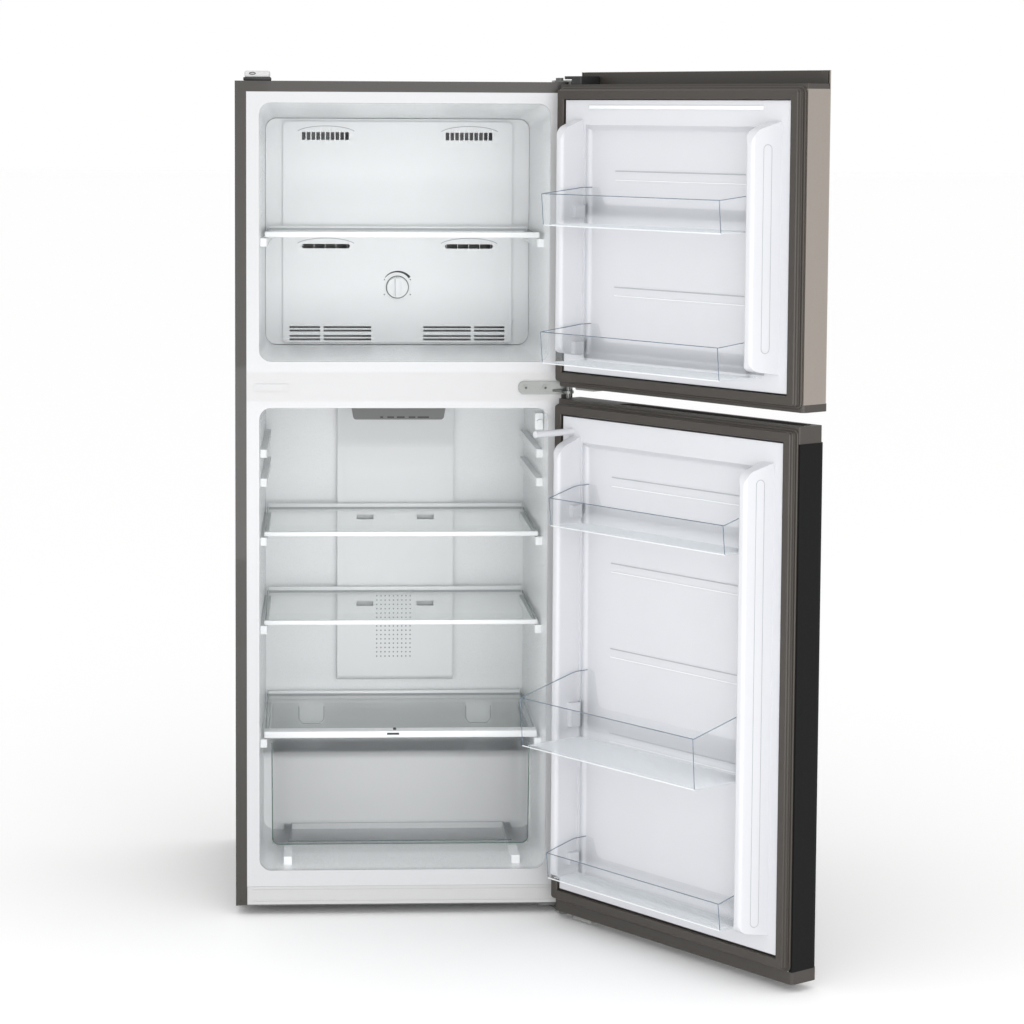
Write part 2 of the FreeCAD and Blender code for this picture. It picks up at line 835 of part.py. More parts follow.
def swept_tube(name, points, bend_radius, tube_radius):
    path = tube_path(points, bend_radius)
    start = path.OrderedEdges[0]
    direction = start.tangentAt(start.FirstParameter)
    section = Part.Wire(Part.makeCircle(tube_radius, points[0], direction))
    tube = doc.addObject("Part::Feature", name)
    tube.Shape = path.makePipeShell([section], True, False)
    tube.Label = name
    return tube


def serpentine(half, depth, levels):
    """Corner points of a tube that runs from side to side and steps down at each end."""
    points = []
    for count, level in enumerate(levels):
        side = 1 if count % 2 else -1
        points.append(Vector(side * half, depth, level))
        points.append(Vector(-side * half, depth, level))
    return points


def make_condenser_coil():
    levels = [1340 - 92 * step for step in range(12)]
    coil = swept_tube("condenser_coil", serpentine(225, 530, levels), 20, 2.6)
    return keep(coil)


def make_evaporator():
    levels = [1208 - 32 * step for step in range(7)]
    tube = swept_tube("evaporator_tube", serpentine(195, 432, levels), 14, 4)
    fins = new_body("evaporator_fins")
    for step in range(18):
        x = -170 + step * 20
        pad(fins, "side", x - 0.5, 1, rectangle(412, 1000, 452, 1224, 3))
    return keep(join("evaporator_coil", [tube, fins]))


def make_defrost_heater():
    points = [
        Vector(-190, 432, 1180),
        Vector(-190, 432, 980),
        Vector(190, 432, 980),
        Vector(190, 432, 1180),
    ]
    outside = [Vector(p.x + math.copysign(24, p.x), p.y, p.z) for p in points]
    return keep(swept_tube("defrost_heater", outside, 16, 3.2))


FAN_Z = 1272
FAN_Y = 404


def make_fan():
    fan = new_body("evaporator_fan")
    pad(fan, "front", FAN_Y - 9, 18, circle(0, FAN_Z, 15))
    blades = []
    for step in range(5):
        blade = block(f"fan_blade_{step}", (-11, 11), (-1, 1), (13, 44))
        lean = Rotation(Vector(0, 0, 1), 32)
        turn = Rotation(Vector(0, 1, 0), 72 * step)
        blade.Placement = Placement(Vector(0, FAN_Y, FAN_Z), turn * lean)
        blades.append(blade)
    fan.Label = "fan_hub"
    bore = plate("fan_bore", "front", FAN_Y - 4, 20, circle(0, FAN_Z, 2.35))
    whole = join("fan_rotor", [fan] + blades)
    keep(cut("evaporator_fan", whole, bore))
    motor = new_body("fan_motor")
    pad(motor, "front", FAN_Y + 16, 30, circle(0, FAN_Z, 22))
    pad(motor, "front", FAN_Y - 3, 19, circle(0, FAN_Z, 2.3))
    for side in (-1, 1):
        leg = rectangle(min(side * 20, side * 62), FAN_Z - 6, max(side * 20, side * 62), FAN_Z + 6)
        pad(motor, "front", FAN_Y + 22, 4, leg)
    keep(motor)


def make_drain_pan():
    body = new_body("drain_pan")
    pad(body, "top", 132, 26, rectangle(-150, 356, 60, 520, 10))
    pocket(body, "top", 134, 24, rectangle(-148, 358, 58, 518, 8))
    return keep(body)


def make_power_inlet():
    """Terminal box for the mains lead at the rear, with an empty gland."""
    body = new_body("power_inlet")
    pad(body, "top", 40, 70, rectangle(170, 470, 240, 532, 5))
    pad(body, "front", 532, 7, circle(205, 66, 11))
    pocket(body, "front", 516, 23, circle(205, 66, 5))
    return keep(body)


def make_rear_rollers():
    """Two wheels on one axle, turning in the ears of the compressor plate."""
    body = new_body("rear_rollers")
    for side in (-1, 1):
        middle = side * (half_width - 30)
        pad(body, "side", middle - 9, 18, circle(ROLLER_Y, ROLLER_Z, ROLLER_Z + dim.floor_drop))
    half = half_width - 14
    pad(body, "side", -half, 2 * half, circle(ROLLER_Y, ROLLER_Z, 3))
    return keep(body)


# ----------------------------------------------------------------------------------------
# Freezer compartment
# ----------------------------------------------------------------------------------------

COVER_Y = 384
VENT_BARS = 10
GRILLE_LEVELS = [937.5, 943.8, 953.4, 959.7]


def make_evaporator_cover():
    body = new_body("evaporator_cover")
    low = 930.2
    half = 237
    top = 1336.2
    sheet_loop = [(-half, low, 19), (half, low, 19), (half, top, 19.4), (-half, top, 19.4)]
    pad(body, "front", COVER_Y, 2.5, sheet_loop)
    raised = [(-206, 934, 6), (206, 934, 6), (206, 1331, 10), (-206, 1331, 10)]
    pad(body, "front", COVER_Y - 6, 6, raised)
    inside = [(-203.5, 936.5, 5), (203.5, 936.5, 5), (203.5, 1328.5, 8), (-203.5, 1328.5, 8)]
    pocket(body, "front", COVER_Y - 3.5, 6, inside)
    for side in (-1, 1):
        vent = sorted((side * 86, side * 172))
        slots = []
        for step in range(VENT_BARS):
            start = vent[0] + step * 86 / VENT_BARS
            slots.append(rectangle(start, 1298, start + 6.6, 1312, 1))
        pocket(body, "front", COVER_Y - 6, 2.5, *slots)
        slot = rectangle(vent[0], 1103.5, vent[1], 1111.5, 3.6)
        pocket(body, "front", COVER_Y - 6, 2.5, slot)
        grille = sorted((side * 47, side * 194))
        middle = side * 136
        for level in GRILLE_LEVELS:
            first = rectangle(grille[0], level, middle - 3, level + 3.6)
            second = rectangle(middle + 3, level, grille[1], level + 3.6)
            pocket(body, "front", COVER_Y - 6, 2.5, first, second)
    pocket(body, "front", COVER_Y - 6, 2.5, circle(0, KNOB_Z, 5.3))
    return keep(body)


KNOB_Z = 1034


def make_knob():
    body = new_body("temperature_knob")
    face = COVER_Y - 6
    pad(body, "front", face - 12, 11.5, circle(0, KNOB_Z, 18.5))
    pad(body, "front", face - 22, 10, rectangle(-3.5, KNOB_Z - 17, 3.5, KNOB_Z + 17, 2))
    pad(body, "front", face - 0.5, 24, circle(0, KNOB_Z, 5))
    return keep(body)


def make_damper():
    """Flap that throttles the air going down to the fresh-food compartment."""
    body = new_body("air_damper")
    pad(body, "side", -38, 76, circle(430, 950, 3))
    pad(body, "side", -34, 68, rectangle(404, 949, 430, 951))
    return keep(body)


def make_screw_caps():
    body = new_body("screw_caps")
    for side in (-1, 1):
        pad(body, "front", COVER_Y - 7.2, 1.2, circle(side * 159, 1216, 6))
    pad(body, "front", DUCT_FACE - 1, 1, circle(0, 325.7, 6))
    return keep(body)


def make_freezer_shelf():
    body = new_body("freezer_shelf")
    half = dim.shelf_half - 1.5
    front = dim.shelf_front
    pane = rectangle(-(half - 2), front + 6, half - 2, COVER_Y - 20)
    pad(body, "top", 1136.4, dim.glass, pane)
    trim = rectangle(-half, front, half, front + 9, 2)
    pad(body, "top", 1134.6, 9.6, trim)
    rear = rectangle(-(half - 3), COVER_Y - 24, half - 3, COVER_Y - 15, 2)
    pad(body, "top", 1134.6, 9.6, rear)
    return keep(body)


# ----------------------------------------------------------------------------------------
# Fresh-food compartment
# ----------------------------------------------------------------------------------------

DUCT_FACE = 457


def make_air_duct():
    body = new_body("air_duct")
    rear = dim.frg_back - 0.4
    profile = [
        (rear, 300),
        (DUCT_FACE, 304, 8),
        (DUCT_FACE, 742, 60),
        (DUCT_FACE - 26, 845.5),
        (rear, 845.5),
    ]
    pad(body, "side", -106.5, 213, profile)
    channel = [
        (rear, 306),
        (DUCT_FACE + 2.5, 308),
        (DUCT_FACE + 2.5, 742),
        (DUCT_FACE - 23, 842),
        (rear, 842),
    ]
    pocket(body, "side", -104, 208, channel)
    for level in (601, 440):
        for side in (-1, 1):
            slot = sorted((side * 40, side * 71))
            pocket(body, "front", DUCT_FACE - 1, 5, rectangle(slot[0], level, slot[1], level + 9))
    return keep(body)


def make_lamp():
    body = new_body("lamp_cover")
    outline = [(-88, 847), (-80, 803, 6), (80, 803, 6), (88, 847)]
    pad(body, "front", 290, 110, outline)
    hollow = [(-85, 847), (-77.5, 806), (77.5, 806), (85, 847)]
    pocket(body, "front", 293, 104, hollow)
    return keep(body)


SWITCH_X = 235.2
SWITCH_Z = 821
SWITCH_Y = 84


def make_light_switch():
    housing = new_body("switch_housing")
    pad(housing, "front", SWITCH_Y, 34, rectangle(228, SWITCH_Z - 14, 242, SWITCH_Z + 14, 2))
    pocket(housing, "front", SWITCH_Y, 22, circle(SWITCH_X, SWITCH_Z, 4.3))
    keep(housing)
    plunger = new_body("switch_plunger")
    pad(plunger, "front", SWITCH_Y - 7, 21, circle(SWITCH_X, SWITCH_Z, 4))
    keep(plunger)


def make_glass_shelf(name, top):
    body = new_body(name)
    half = dim.shelf_half
    front = dim.shelf_front
    rear = DUCT_FACE - 4
    pane = rectangle(-(half - 2), front + 5, half - 2, rear - 3)
    pad(body, "top", top - 1 - dim.glass, dim.glass, pane)
    pad(body, "top", top - 8, 8, rectangle(-half, front, half, front + 9, 2))
    pad(body, "top", top - 8, 14, rectangle(-(half - 4), rear - 8, half - 4, rear, 2))
    return keep(body)


CRISPER_TOP = 277


def make_crisper_cover():
    body = new_body("crisper_cover")
    half = dim.shelf_half
    front = dim.shelf_front
    rear = dim.shelf_rear
    pane = rectangle(-(half - 2), front + 20, half - 2, rear - 3)
    pad(body, "top", CRISPER_TOP - 1 - dim.glass, dim.glass, pane)
    pad(body, "top", CRISPER_TOP - 11.6, 11.6, rectangle(-half, front, half, front + 30, 2))
    pad(body, "top", CRISPER_TOP - 11.6, 16, rectangle(-(half - 4), rear - 8, half - 4, rear, 2))
    slot = rectangle(-19, front + 9, 19, front + 21, 2)
    pocket(body, "top", CRISPER_TOP - 2.5, 2.5, slot)
    keep(body)
    slider = new_body("humidity_slider")
    pad(slider, "top", CRISPER_TOP - 2.3, 2, rectangle(-18.5, front + 9.6, -2, front + 20.4, 1.5))
    pad(slider, "top", CRISPER_TOP - 0.3, 2.8, rectangle(-13, front + 11, -8, front + 19, 1))
    keep(slider)


def make_crisper_drawer():
    """Stepped drawer: a deep front part, and a shallow part over the compressor step."""
    wall = dim.drawer_wall
    low = 75.1
    top = 261.0
    step = dim.hump_top + 7
    front = dim.shelf_front + 3
    deep = dim.hump_front - 6
    rear = 440
    body = new_body("drawer_block")
    profile = [
        (front + 6, low, 8),
        (deep - 2, low, 10),
        (deep + 12, step, 8),
        (rear, step, 8),
        (rear + 2, top),
        (front, top),
    ]
    pad(body, "side", -224.5, 449, profile)
    hollow = [
        (front + 6 + wall, low + wall, 6),
        (deep - 2 - wall, low + wall, 8),
        (deep + 12 - wall, step + wall, 8),
        (rear - wall, step + wall, 6),
        (rear + 2 - wall, top + 1),
        (front + wall, top + 1),
    ]
    pocket(body, "side", -224.5 + wall, 449 - 2 * wall, hollow)
    rim = [rectangle(-226, front - 2, 226, rear + 4), rectangle(-222, front + 2, 222, rear)]
    pad(body, "top", top - 3, 3, *rim)
    grip = [(front - 2, top), (front - 2, top - 14), (front + 0.5, top - 14), (front + 3, top)]
    pad(body, "side", -222, 444, grip)
    for side in (-1, 1):
        x = sorted((side * 130, side * 178))
        pocket(body, "front", rear - 4, 10, rectangle(x[0], 222, x[1], top + 4, 8))
    body.Label = "drawer_block"
    return keep(body, "crisper_drawer")


# ----------------------------------------------------------------------------------------
# Doors. Everything here is drawn with the door shut.
# ----------------------------------------------------------------------------------------

PLATEAU = 10
RECESS = 5
FORM_DEPTH = 6
LINER_FLANGE = 1.4
RECESS_HALF = 219


def channel_outline():
    """Plan of the door skin: front, two sides and two short return lips."""
    outer_radius = dim.door_radius
    inner_radius = dim.door_radius - dim.sheet
    back = dim.door_inner
    front = dim.door_outer
    return [
        (half_width - 8, back),
        (half_width, back),
        (half_width, front, outer_radius),
        (-half_width, front, outer_radius),
        (-half_width, back),
        (-(half_width - 8), back),
        (-(half_width - 8), back - dim.sheet),
        (-inside_half, back - dim.sheet),
        (-inside_half, front + dim.sheet, inner_radius),
        (inside_half, front + dim.sheet, inner_radius),
        (inside_half, back - dim.sheet),
        (half_width - 8, back - dim.sheet),
    ]


def plug_outline(gap, back_gap):
    """Plan of what fits inside the skin."""
    half = inside_half - gap
    front = dim.door_outer + dim.sheet + gap
    back = dim.door_inner - back_gap
    radius = dim.door_radius - dim.sheet
    return [(-half, front, radius), (half, front, radius), (half, back), (-half, back)]


DIKE_FOOT = 240


def door_form(name, low, high, inset):
    """The raised side of a door liner, pulled in by the sheet thickness for the foam."""
    back = dim.door_inner - FORM_DEPTH
    plateau_y = dim.door_inner + PLATEAU - inset
    half = 258 - inset
    pieces = [block(f"{name}_plateau", (-half, half), (back, plateau_y), (low + inset, high - inset))]
    crest_y = dim.door_inner + dim.dike_depth - inset
    for side in (-1, 1):
        side_name = "left" if side < 0 else "right"
        outline = [
            (side * (RECESS_HALF - 3 + inset), back),
            (side * (dim.dike_inner + inset), crest_y, 6),
            (side * (dim.dike_outer - inset), crest_y, 7),
            (side * (DIKE_FOOT - inset), plateau_y - 1),
            (side * (DIKE_FOOT - inset), back),
        ]
        dike = plate(f"{name}_dike_plan_{side_name}", "top", low, high - low, outline)
        ends = [
            (back, low + 28 + inset),
            (plateau_y - 1, low + 28 + inset),
            (crest_y, low + 36 + inset, 16),
            (crest_y, high - 48 - inset, 26),
            (plateau_y - 1, high - 31 - inset),
            (back, high - 31 - inset),
        ]
        limit = plate(f"{name}_dike_side_{side_name}", "side", -260, 520, ends)
        pieces.append(common(f"{name}_dike_{side_name}", dike, limit))
    return pieces


def recess_block(name, low, high, inset):
    """The storage recess between the ribs, grown by the sheet thickness for the foam."""
    half = RECESS_HALF - 3 + inset
    floor_y = dim.door_inner - RECESS - inset
    mouth_y = dim.door_inner + PLATEAU + 2
    narrow = dim.dike_inner - 2 + inset
    outline = [
        (-half, floor_y, 6),
        (half, floor_y, 6),
        (narrow, mouth_y),
        (-narrow, mouth_y),
    ]
    plan = plate(f"{name}_plan", "top", low - inset, high - low + 2 * inset, outline)
    lean = [
        (floor_y, low + 8 - inset, 6),
        (floor_y, high - 10 + inset, 6),
        (mouth_y, high + inset),
        (mouth_y, low - inset),
    ]
    limit = plate(f"{name}_lean", "side", -260, 520, lean)
    return common(name, plan, limit)


def make_door_liner(prefix, low, high, flange_low, flange_high, beads, lugs):
    """Liner sheet and the foam behind it, from the same form at two sizes."""
    ledge = 39
    plug_low = flange_low + PLUG_DEPTH - 6
    plug_high = flange_high - PLUG_DEPTH
    recess_low = low + 24
    recess_high = high - ledge
    outer = door_form(f"{prefix}_form", low, high, 0)
    inner = door_form(f"{prefix}_core", low, high, dim.liner_wall)
    recess = recess_block(f"{prefix}_recess", recess_low, recess_high, 0)
    recess_back = recess_block(f"{prefix}_recess_back", recess_low, recess_high, dim.liner_wall)
    fill = plate(f"{prefix}_fill", "top", plug_low, plug_high - plug_low, plug_outline(0.4, LINER_FLANGE))
    foam_block = join(f"{prefix}_foam_block", [fill] + inner)
    foam = cut(f"{prefix}_foam", foam_block, recess_back)
    flange_y = (dim.door_inner - LINER_FLANGE, dim.door_inner)
    flange = block(f"{prefix}_flange", (-275.6, 275.6), flange_y, (flange_low, flange_high))
    body = join(f"{prefix}_liner_block", [flange] + outer)
    raised = cut(f"{prefix}_liner_raised", body, foam_block, recess_back)
    face = dim.door_inner + PLATEAU
    proud = block(f"{prefix}_proud", (-258, 258), (face, face + 5), (low, high))
    pan = cut(f"{prefix}_liner_pan", recess_back, recess, proud)
    bead_floor = dim.door_inner - RECESS
    extras = []
    for count, level in enumerate(beads):
        bead = rectangle(-152, level, 152, level + 2.2, 0.9)
        extras.append(plate(f"{prefix}_bead_{count}", "front", bead_floor - 1, 1.8, bead))
    for count, (level, height) in enumerate(lugs):
        for side in (-1, 1):
            x = sorted((side * 202, side * 214))
            side_name = "left" if side < 0 else "right"
            lug = block(f"{prefix}_lug_{side_name}_{count}", x, (1, 20), (level, level + height))
            extras.append(lug)
    liner = join(f"{prefix}_liner", [raised, pan] + extras)
    return keep(foam), keep(liner)


def make_gasket(prefix, low, high):
    body = new_body(f"{prefix}_gasket")
    base = dim.door_inner
    pad(body, "front", base, 6, *frame_at(281, low, high, 21.5))
    pad(body, "front", base + 6, 15 - 6 - dim.gasket_gap, *frame_at(275.6, low + 4.5, high - 4.5, 14.5))
    return keep(body)


def frame_at(half, low, high, band):
    outside = rectangle(-half, low, half, high, 3)
    inside = rectangle(-(half - band), low + band, half - band, high - band)
    return [outside, inside]


def make_skin(prefix, low, high):
    body = new_body(f"{prefix}_skin")
    pad(body, "top", low, high - low, channel_outline())
    return body


PLUG_DEPTH = 18
PIN_SEAT = 17
PEG_LENGTH = 82


def bore_for_pin(body, low, depth):
    pocket(body, "top", low, depth, circle(dim.pivot_x, dim.pivot_y, dim.pin_radius + dim.pin_play))


def make_freezer_door():
    prefix = "freezer_door"
    side_top = 1388
    lip_top = 1416.8
    lip_rear = dim.door_outer + 8
    skin = make_skin(prefix, FREEZER_DOOR_LOW + 12, lip_top)
    step = rectangle(-(half_width + 1), lip_rear, half_width + 1, dim.door_inner + 2)
    pocket(skin, "top", side_top, lip_top - side_top + 1, step)
    keep(skin)
    top = new_body("freezer_door_top_cap")
    pad(top, "top", side_top - PLUG_DEPTH, PLUG_DEPTH, plug_outline(0.2, FORM_DEPTH + 0.5))
    shoulder = rectangle(-half_width, lip_rear + 0.3, half_width, dim.door_inner, 2)
    pad(top, "top", side_top, FREEZER_DOOR_HIGH - side_top, shoulder)
    lip_half = inside_half - 3
    lip_front = dim.door_outer + dim.sheet + 0.2
    front_corners = [(-lip_half, lip_front, 6), (lip_half, lip_front, 6)]
    fill = front_corners + [(lip_half, lip_rear + 2), (-lip_half, lip_rear + 2)]
    pad(top, "top", side_top, FREEZER_DOOR_HIGH - side_top, fill)
    lip = front_corners + [(lip_half, lip_rear), (-lip_half, lip_rear)]
    pad(top, "top", FREEZER_DOOR_HIGH, lip_top - 0.8 - FREEZER_DOOR_HIGH, lip)
    bore_for_pin(top, FREEZER_DOOR_HIGH - PIN_SEAT, PIN_SEAT)
    keep(top)
    bottom = new_body("freezer_door_bottom_cap")
    outline = rectangle(-half_width, dim.door_outer, half_width, dim.door_inner, 8)
    pad(bottom, "top", FREEZER_DOOR_LOW, 12, outline)
    pad(bottom, "top", FREEZER_DOOR_LOW + 12, PLUG_DEPTH - 6, plug_outline(0.2, FORM_DEPTH + 0.5))
    grip = rectangle(-(half_width - 12), dim.door_outer + 9, 150, dim.door_inner - 16, 8)
    pocket(bottom, "top", FREEZER_DOOR_LOW, 16, grip)
    pad(bottom, "top", FREEZER_DOOR_LOW - 4, 4, rectangle(206, -52, 250, -24, 4))
    bore_for_pin(bottom, FREEZER_DOOR_LOW - 1, PIN_SEAT)
    keep(bottom)
    make_door_liner(
        prefix,
        921,
        1370,
        FREEZER_DOOR_LOW + 12,
        side_top,
        [1239, 1254, 1050, 1064],
        [(1178, 20), (954, 20)],
    )
    make_gasket(prefix, 898, 1392)


def make_fridge_door():
    prefix = "fridge_door"
    side_top = 845
    cap_front = dim.door_outer + 6
    cap_height = 20
    skin = make_skin(prefix, FRIDGE_DOOR_LOW + cap_height, side_top)
    keep(skin)
    top = new_body("fridge_door_top_cap")
    pad(top, "top", side_top - PLUG_DEPTH, PLUG_DEPTH, plug_outline(0.2, FORM_DEPTH + 0.5))
    shoulder = rectangle(-(half_width - 1), cap_front, half_width - 1, dim.door_inner, 3)
    pad(top, "top", side_top, FRIDGE_DOOR_HIGH - side_top, shoulder)
    groove = rectangle(-(half_width - 12), cap_front + 8, 150, dim.door_inner - 14, 8)
    pocket(top, "top", FRIDGE_DOOR_HIGH - 16, 16, groove)
    bore_for_pin(top, FRIDGE_DOOR_HIGH - PIN_SEAT, PIN_SEAT)
    keep(top)
    bottom = new_body("fridge_door_bottom_cap")
    outline = rectangle(-half_width, dim.door_outer, half_width, dim.door_inner, 8)
    pad(bottom, "top", FRIDGE_DOOR_LOW, cap_height, outline)
    pad(bottom, "top", FRIDGE_DOOR_LOW + cap_height, PLUG_DEPTH - 6, plug_outline(0.2, FORM_DEPTH + 0.5))
    pad(bottom, "top", FRIDGE_DOOR_LOW - 9, 9, rectangle(200, -52, 244, -24, 4))
    bore_for_pin(bottom, FRIDGE_DOOR_LOW - 1, PIN_SEAT)
    keep(bottom)
    make_door_liner(
        prefix,
        41.5,
        side_top,
        FRIDGE_DOOR_LOW + cap_height,
        side_top,
        [735.7, 750.5, 593.4, 607.5, 451, 465, 309, 323],
        [(682, 20), (330, 40), (96, 20)],
    )
    make_gasket(prefix, 17.5, 868.5)
    seat = dim.door_inner + PLATEAU - 1
    peg = plate("fridge_door_peg", "front", seat, PEG_LENGTH, circle(SWITCH_X, SWITCH_Z, 5.5))
    liner = kept.pop("fridge_door_liner")
    liner.Label = "fridge_door_liner_panel"
    keep(join("fridge_door_liner_with_peg", [liner, peg]), "fridge_door_liner")


BIN_LIFT = 14


def make_bin(name, floor_z, front_height, rear_height, depth_y, half, lug_level, lug_height):
    """Clear door bin with high ends and channels that drop over the liner's lugs."""
    wall = dim.bin_wall
    rear_y = dim.door_inner - RECESS + 1.2
    body = new_body(f"{name}_block")
    profile = [
        (rear_y, floor_z + BIN_LIFT, 3),
        (-1, floor_z + BIN_LIFT, 2),
        (3, floor_z, 3),
        (depth_y - 7, floor_z, 8),
        (depth_y, floor_z + front_height, 3),
        (depth_y - 6, floor_z + front_height, 2),
        (12, floor_z + rear_height, 10),
        (rear_y, floor_z + rear_height, 3),
    ]
    pad(body, "side", -half, 2 * half, profile)
    hollow = [
        (rear_y + wall, floor_z + BIN_LIFT + wall, 2),
        (0, floor_z + BIN_LIFT + wall, 3),
        (4.6, floor_z + wall, 2),
        (depth_y - 7 - wall, floor_z + wall, 7),
        (depth_y - wall, floor_z + rear_height + 5),
        (rear_y + wall, floor_z + rear_height + 5),
    ]
    pocket(body, "side", -(half - wall), 2 * (half - wall), hollow)
    back_low = floor_z + front_height * 0.62
    window = [
        (-(half - 16), floor_z + rear_height + 4),
        (-(half - 30), back_low, 12),
        (half - 30, back_low, 12),
        (half - 16, floor_z + rear_height + 4),
    ]
    pocket(body, "front", rear_y - 1, wall + 4, window)
    boss_top = lug_level + lug_height + 3
    for side in (-1, 1):
        x = sorted((side * (half - 9.5), side * (half - 1)))
        pad(body, "top", floor_z, boss_top - floor_z, rectangle(x[0], -3.5, x[1], 25, 2))
    for side in (-1, 1):
        x = sorted((side * (half - 7.2), side * (half + 2)))
        channel = rectangle(x[0], -1.2, x[1], 22.2)
        pocket(body, "top", floor_z - 1, lug_level + lug_height + 1.3 - floor_z, channel)
    return keep(body, name)


def make_bins():
    make_bin("freezer_bin_upper", 1166, 53, 62, 97, 207.0, 1178, 20)
    make_bin("freezer_bin_lower", 941, 53, 62, 97, 207.0, 954, 20)
    make_bin("fridge_bin_upper", 671, 48, 64, 74, 207.0, 682, 20)
    make_bin("fridge_bin_middle", 311, 82, 112, 132, 207.0, 330, 40)
    make_bin("fridge_bin_lower", 80, 45, 60, 74, 207.0, 96, 20)


DOOR_PARTS = ["skin", "foam", "top_cap", "bottom_cap", "liner", "gasket"]
DOORS = [
    ("freezer_door", ["freezer_bin_upper", "freezer_bin_lower", "top_hinge_cover"], dim.frz_angle),
    ("fridge_door", ["fridge_bin_upper", "fridge_bin_middle", "fridge_bin_lower"], dim.frg_angle),
]


def open_doors():
    """Turn every door piece about the hinge axis to its rest angle."""
    for prefix, riders, angle in DOORS:
        names = [f"{prefix}_{part}" for part in DOOR_PARTS] + riders
        radians = math.radians(number(angle))
        x, y = number(dim.pivot_x), number(dim.pivot_y)
        shift_x = x - (x * math.cos(radians) - y * math.sin(radians))
        shift_y = y - (x * math.sin(radians) + y * math.cos(radians))
        turn = f"({angle.text} * 1deg)"
        across = f"({dim.pivot_x.text} * cos{turn} - {dim.pivot_y.text} * sin{turn})"
        along = f"({dim.pivot_x.text} * sin{turn} + {dim.pivot_y.text} * cos{turn})"
        for name in names:
            piece = kept[name]
            swing = Rotation(Vector(0, 0, 1), number(angle))
            piece.Placement = Placement(Vector(shift_x, shift_y, 0), swing)
            piece.setExpression("Placement.Rotation.Angle", angle.text)
            piece.setExpression("Placement.Base.x", f"{dim.pivot_x.text} - {across}")
            piece.setExpression("Placement.Base.y", f"{dim.pivot_y.text} - {along}")


# ----------------------------------------------------------------------------------------
# Build, check and write
# ----------------------------------------------------------------------------------------


def build():
    make_outer_shell()
    make_back_panel()
    make_bottom_plate()
    make_compressor_plate()
    make_front_rail()
    make_foot("left", -1)
    make_foot("right", 1)
    _, freezer_tub = make_freezer_liner()
    _, fridge_tub = make_fridge_liner()
    make_cabinet_foam(freezer_tub, fridge_tub)
    make_front_strips()
    make_top_hinge()
    make_middle_hinge()
    make_bottom_hinge()
    make_hinge_screws()
    make_top_trims()
    make_compressor()
    make_compressor_mounts()
    make_condenser_coil()
    make_evaporator()
    make_defrost_heater()
    make_fan()
    make_drain_pan()
    make_power_inlet()
    make_rear_rollers()
    make_evaporator_cover()
    make_knob()
    make_damper()
    make_screw_caps()
    make_freezer_shelf()
    make_air_duct()
    make_lamp()
    make_light_switch()
    make_glass_shelf("shelf_upper", 626.5)
    make_glass_shelf("shelf_lower", 472.0)
    make_crisper_cover()
    make_crisper_drawer()
    make_freezer_door()
    make_fridge_door()
    make_bins()
    open_doors()


def check():
    """Stop on any failed feature, empty or invalid shape, or pocket that cuts nothing."""
    for item in doc.Objects:
        if "Invalid" in item.State or "Error" in item.State:
            users = [user.Label for user in item.InList]
            raise RuntimeError(f"{item.Name} used by {users} failed: {item.State}")
        if item.TypeId == "PartDesign::Pocket":
            removed = item.BaseFeature.Shape.Volume - item.Shape.Volume
            if removed < 1e-3:
                raise RuntimeError(f"{item.Name} in {item.getParentGroup()} cuts nothing")
    for name, piece in kept.items():
        if piece.Shape.isNull() or not piece.Shape.isValid():
            raise RuntimeError(f"{name} has no valid shape")
        if piece.Shape.Volume <= 0:
            raise RuntimeError(f"{name} has no volume")


def write():
    for name, piece in kept.items():
        piece.Shape.exportStep(f"parts/{name}.step")
        print(name, len(piece.Shape.Solids), round(piece.Shape.Volume / 1000, 1), "cm3")


build()
doc.recompute()
check()
write()
print(len(kept), "sub-parts")
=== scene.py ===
import json
import math

import bmesh
import bpy
from mathutils import Matrix, Vector


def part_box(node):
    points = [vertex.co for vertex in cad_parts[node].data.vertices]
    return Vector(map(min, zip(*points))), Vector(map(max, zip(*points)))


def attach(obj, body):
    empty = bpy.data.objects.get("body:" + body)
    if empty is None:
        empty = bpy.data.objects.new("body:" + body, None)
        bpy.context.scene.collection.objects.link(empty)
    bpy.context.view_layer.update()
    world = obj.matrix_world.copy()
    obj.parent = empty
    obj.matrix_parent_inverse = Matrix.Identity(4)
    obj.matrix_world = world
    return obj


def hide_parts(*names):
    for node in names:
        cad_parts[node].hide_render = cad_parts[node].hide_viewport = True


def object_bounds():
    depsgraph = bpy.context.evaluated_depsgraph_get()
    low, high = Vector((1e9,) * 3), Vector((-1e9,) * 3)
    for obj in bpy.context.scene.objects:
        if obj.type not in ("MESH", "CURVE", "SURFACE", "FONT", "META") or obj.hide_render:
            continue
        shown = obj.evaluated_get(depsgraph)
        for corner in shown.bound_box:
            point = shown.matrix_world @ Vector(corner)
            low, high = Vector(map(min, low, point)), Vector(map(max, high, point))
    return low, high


# Top freezer refrigerator with both doors open. Lengths are metres in the row frame: the
# cabinet's front flange is the plane y = 0 and its underside is z = 0. Door pieces are laid
# out as if the door were shut, and then turned about the hinge to their rest place.

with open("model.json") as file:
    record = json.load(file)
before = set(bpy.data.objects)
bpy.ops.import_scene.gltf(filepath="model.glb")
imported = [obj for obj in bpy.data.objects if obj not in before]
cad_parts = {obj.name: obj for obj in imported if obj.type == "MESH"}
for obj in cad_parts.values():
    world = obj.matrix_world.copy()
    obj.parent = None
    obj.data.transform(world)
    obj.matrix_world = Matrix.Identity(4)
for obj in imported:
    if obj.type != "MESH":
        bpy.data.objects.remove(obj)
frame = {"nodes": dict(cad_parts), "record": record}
cad_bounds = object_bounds()
record = frame["record"]
MM = 0.001


# ----------------------------------------------------------------------------------------
# Camera, light and floor
# ----------------------------------------------------------------------------------------


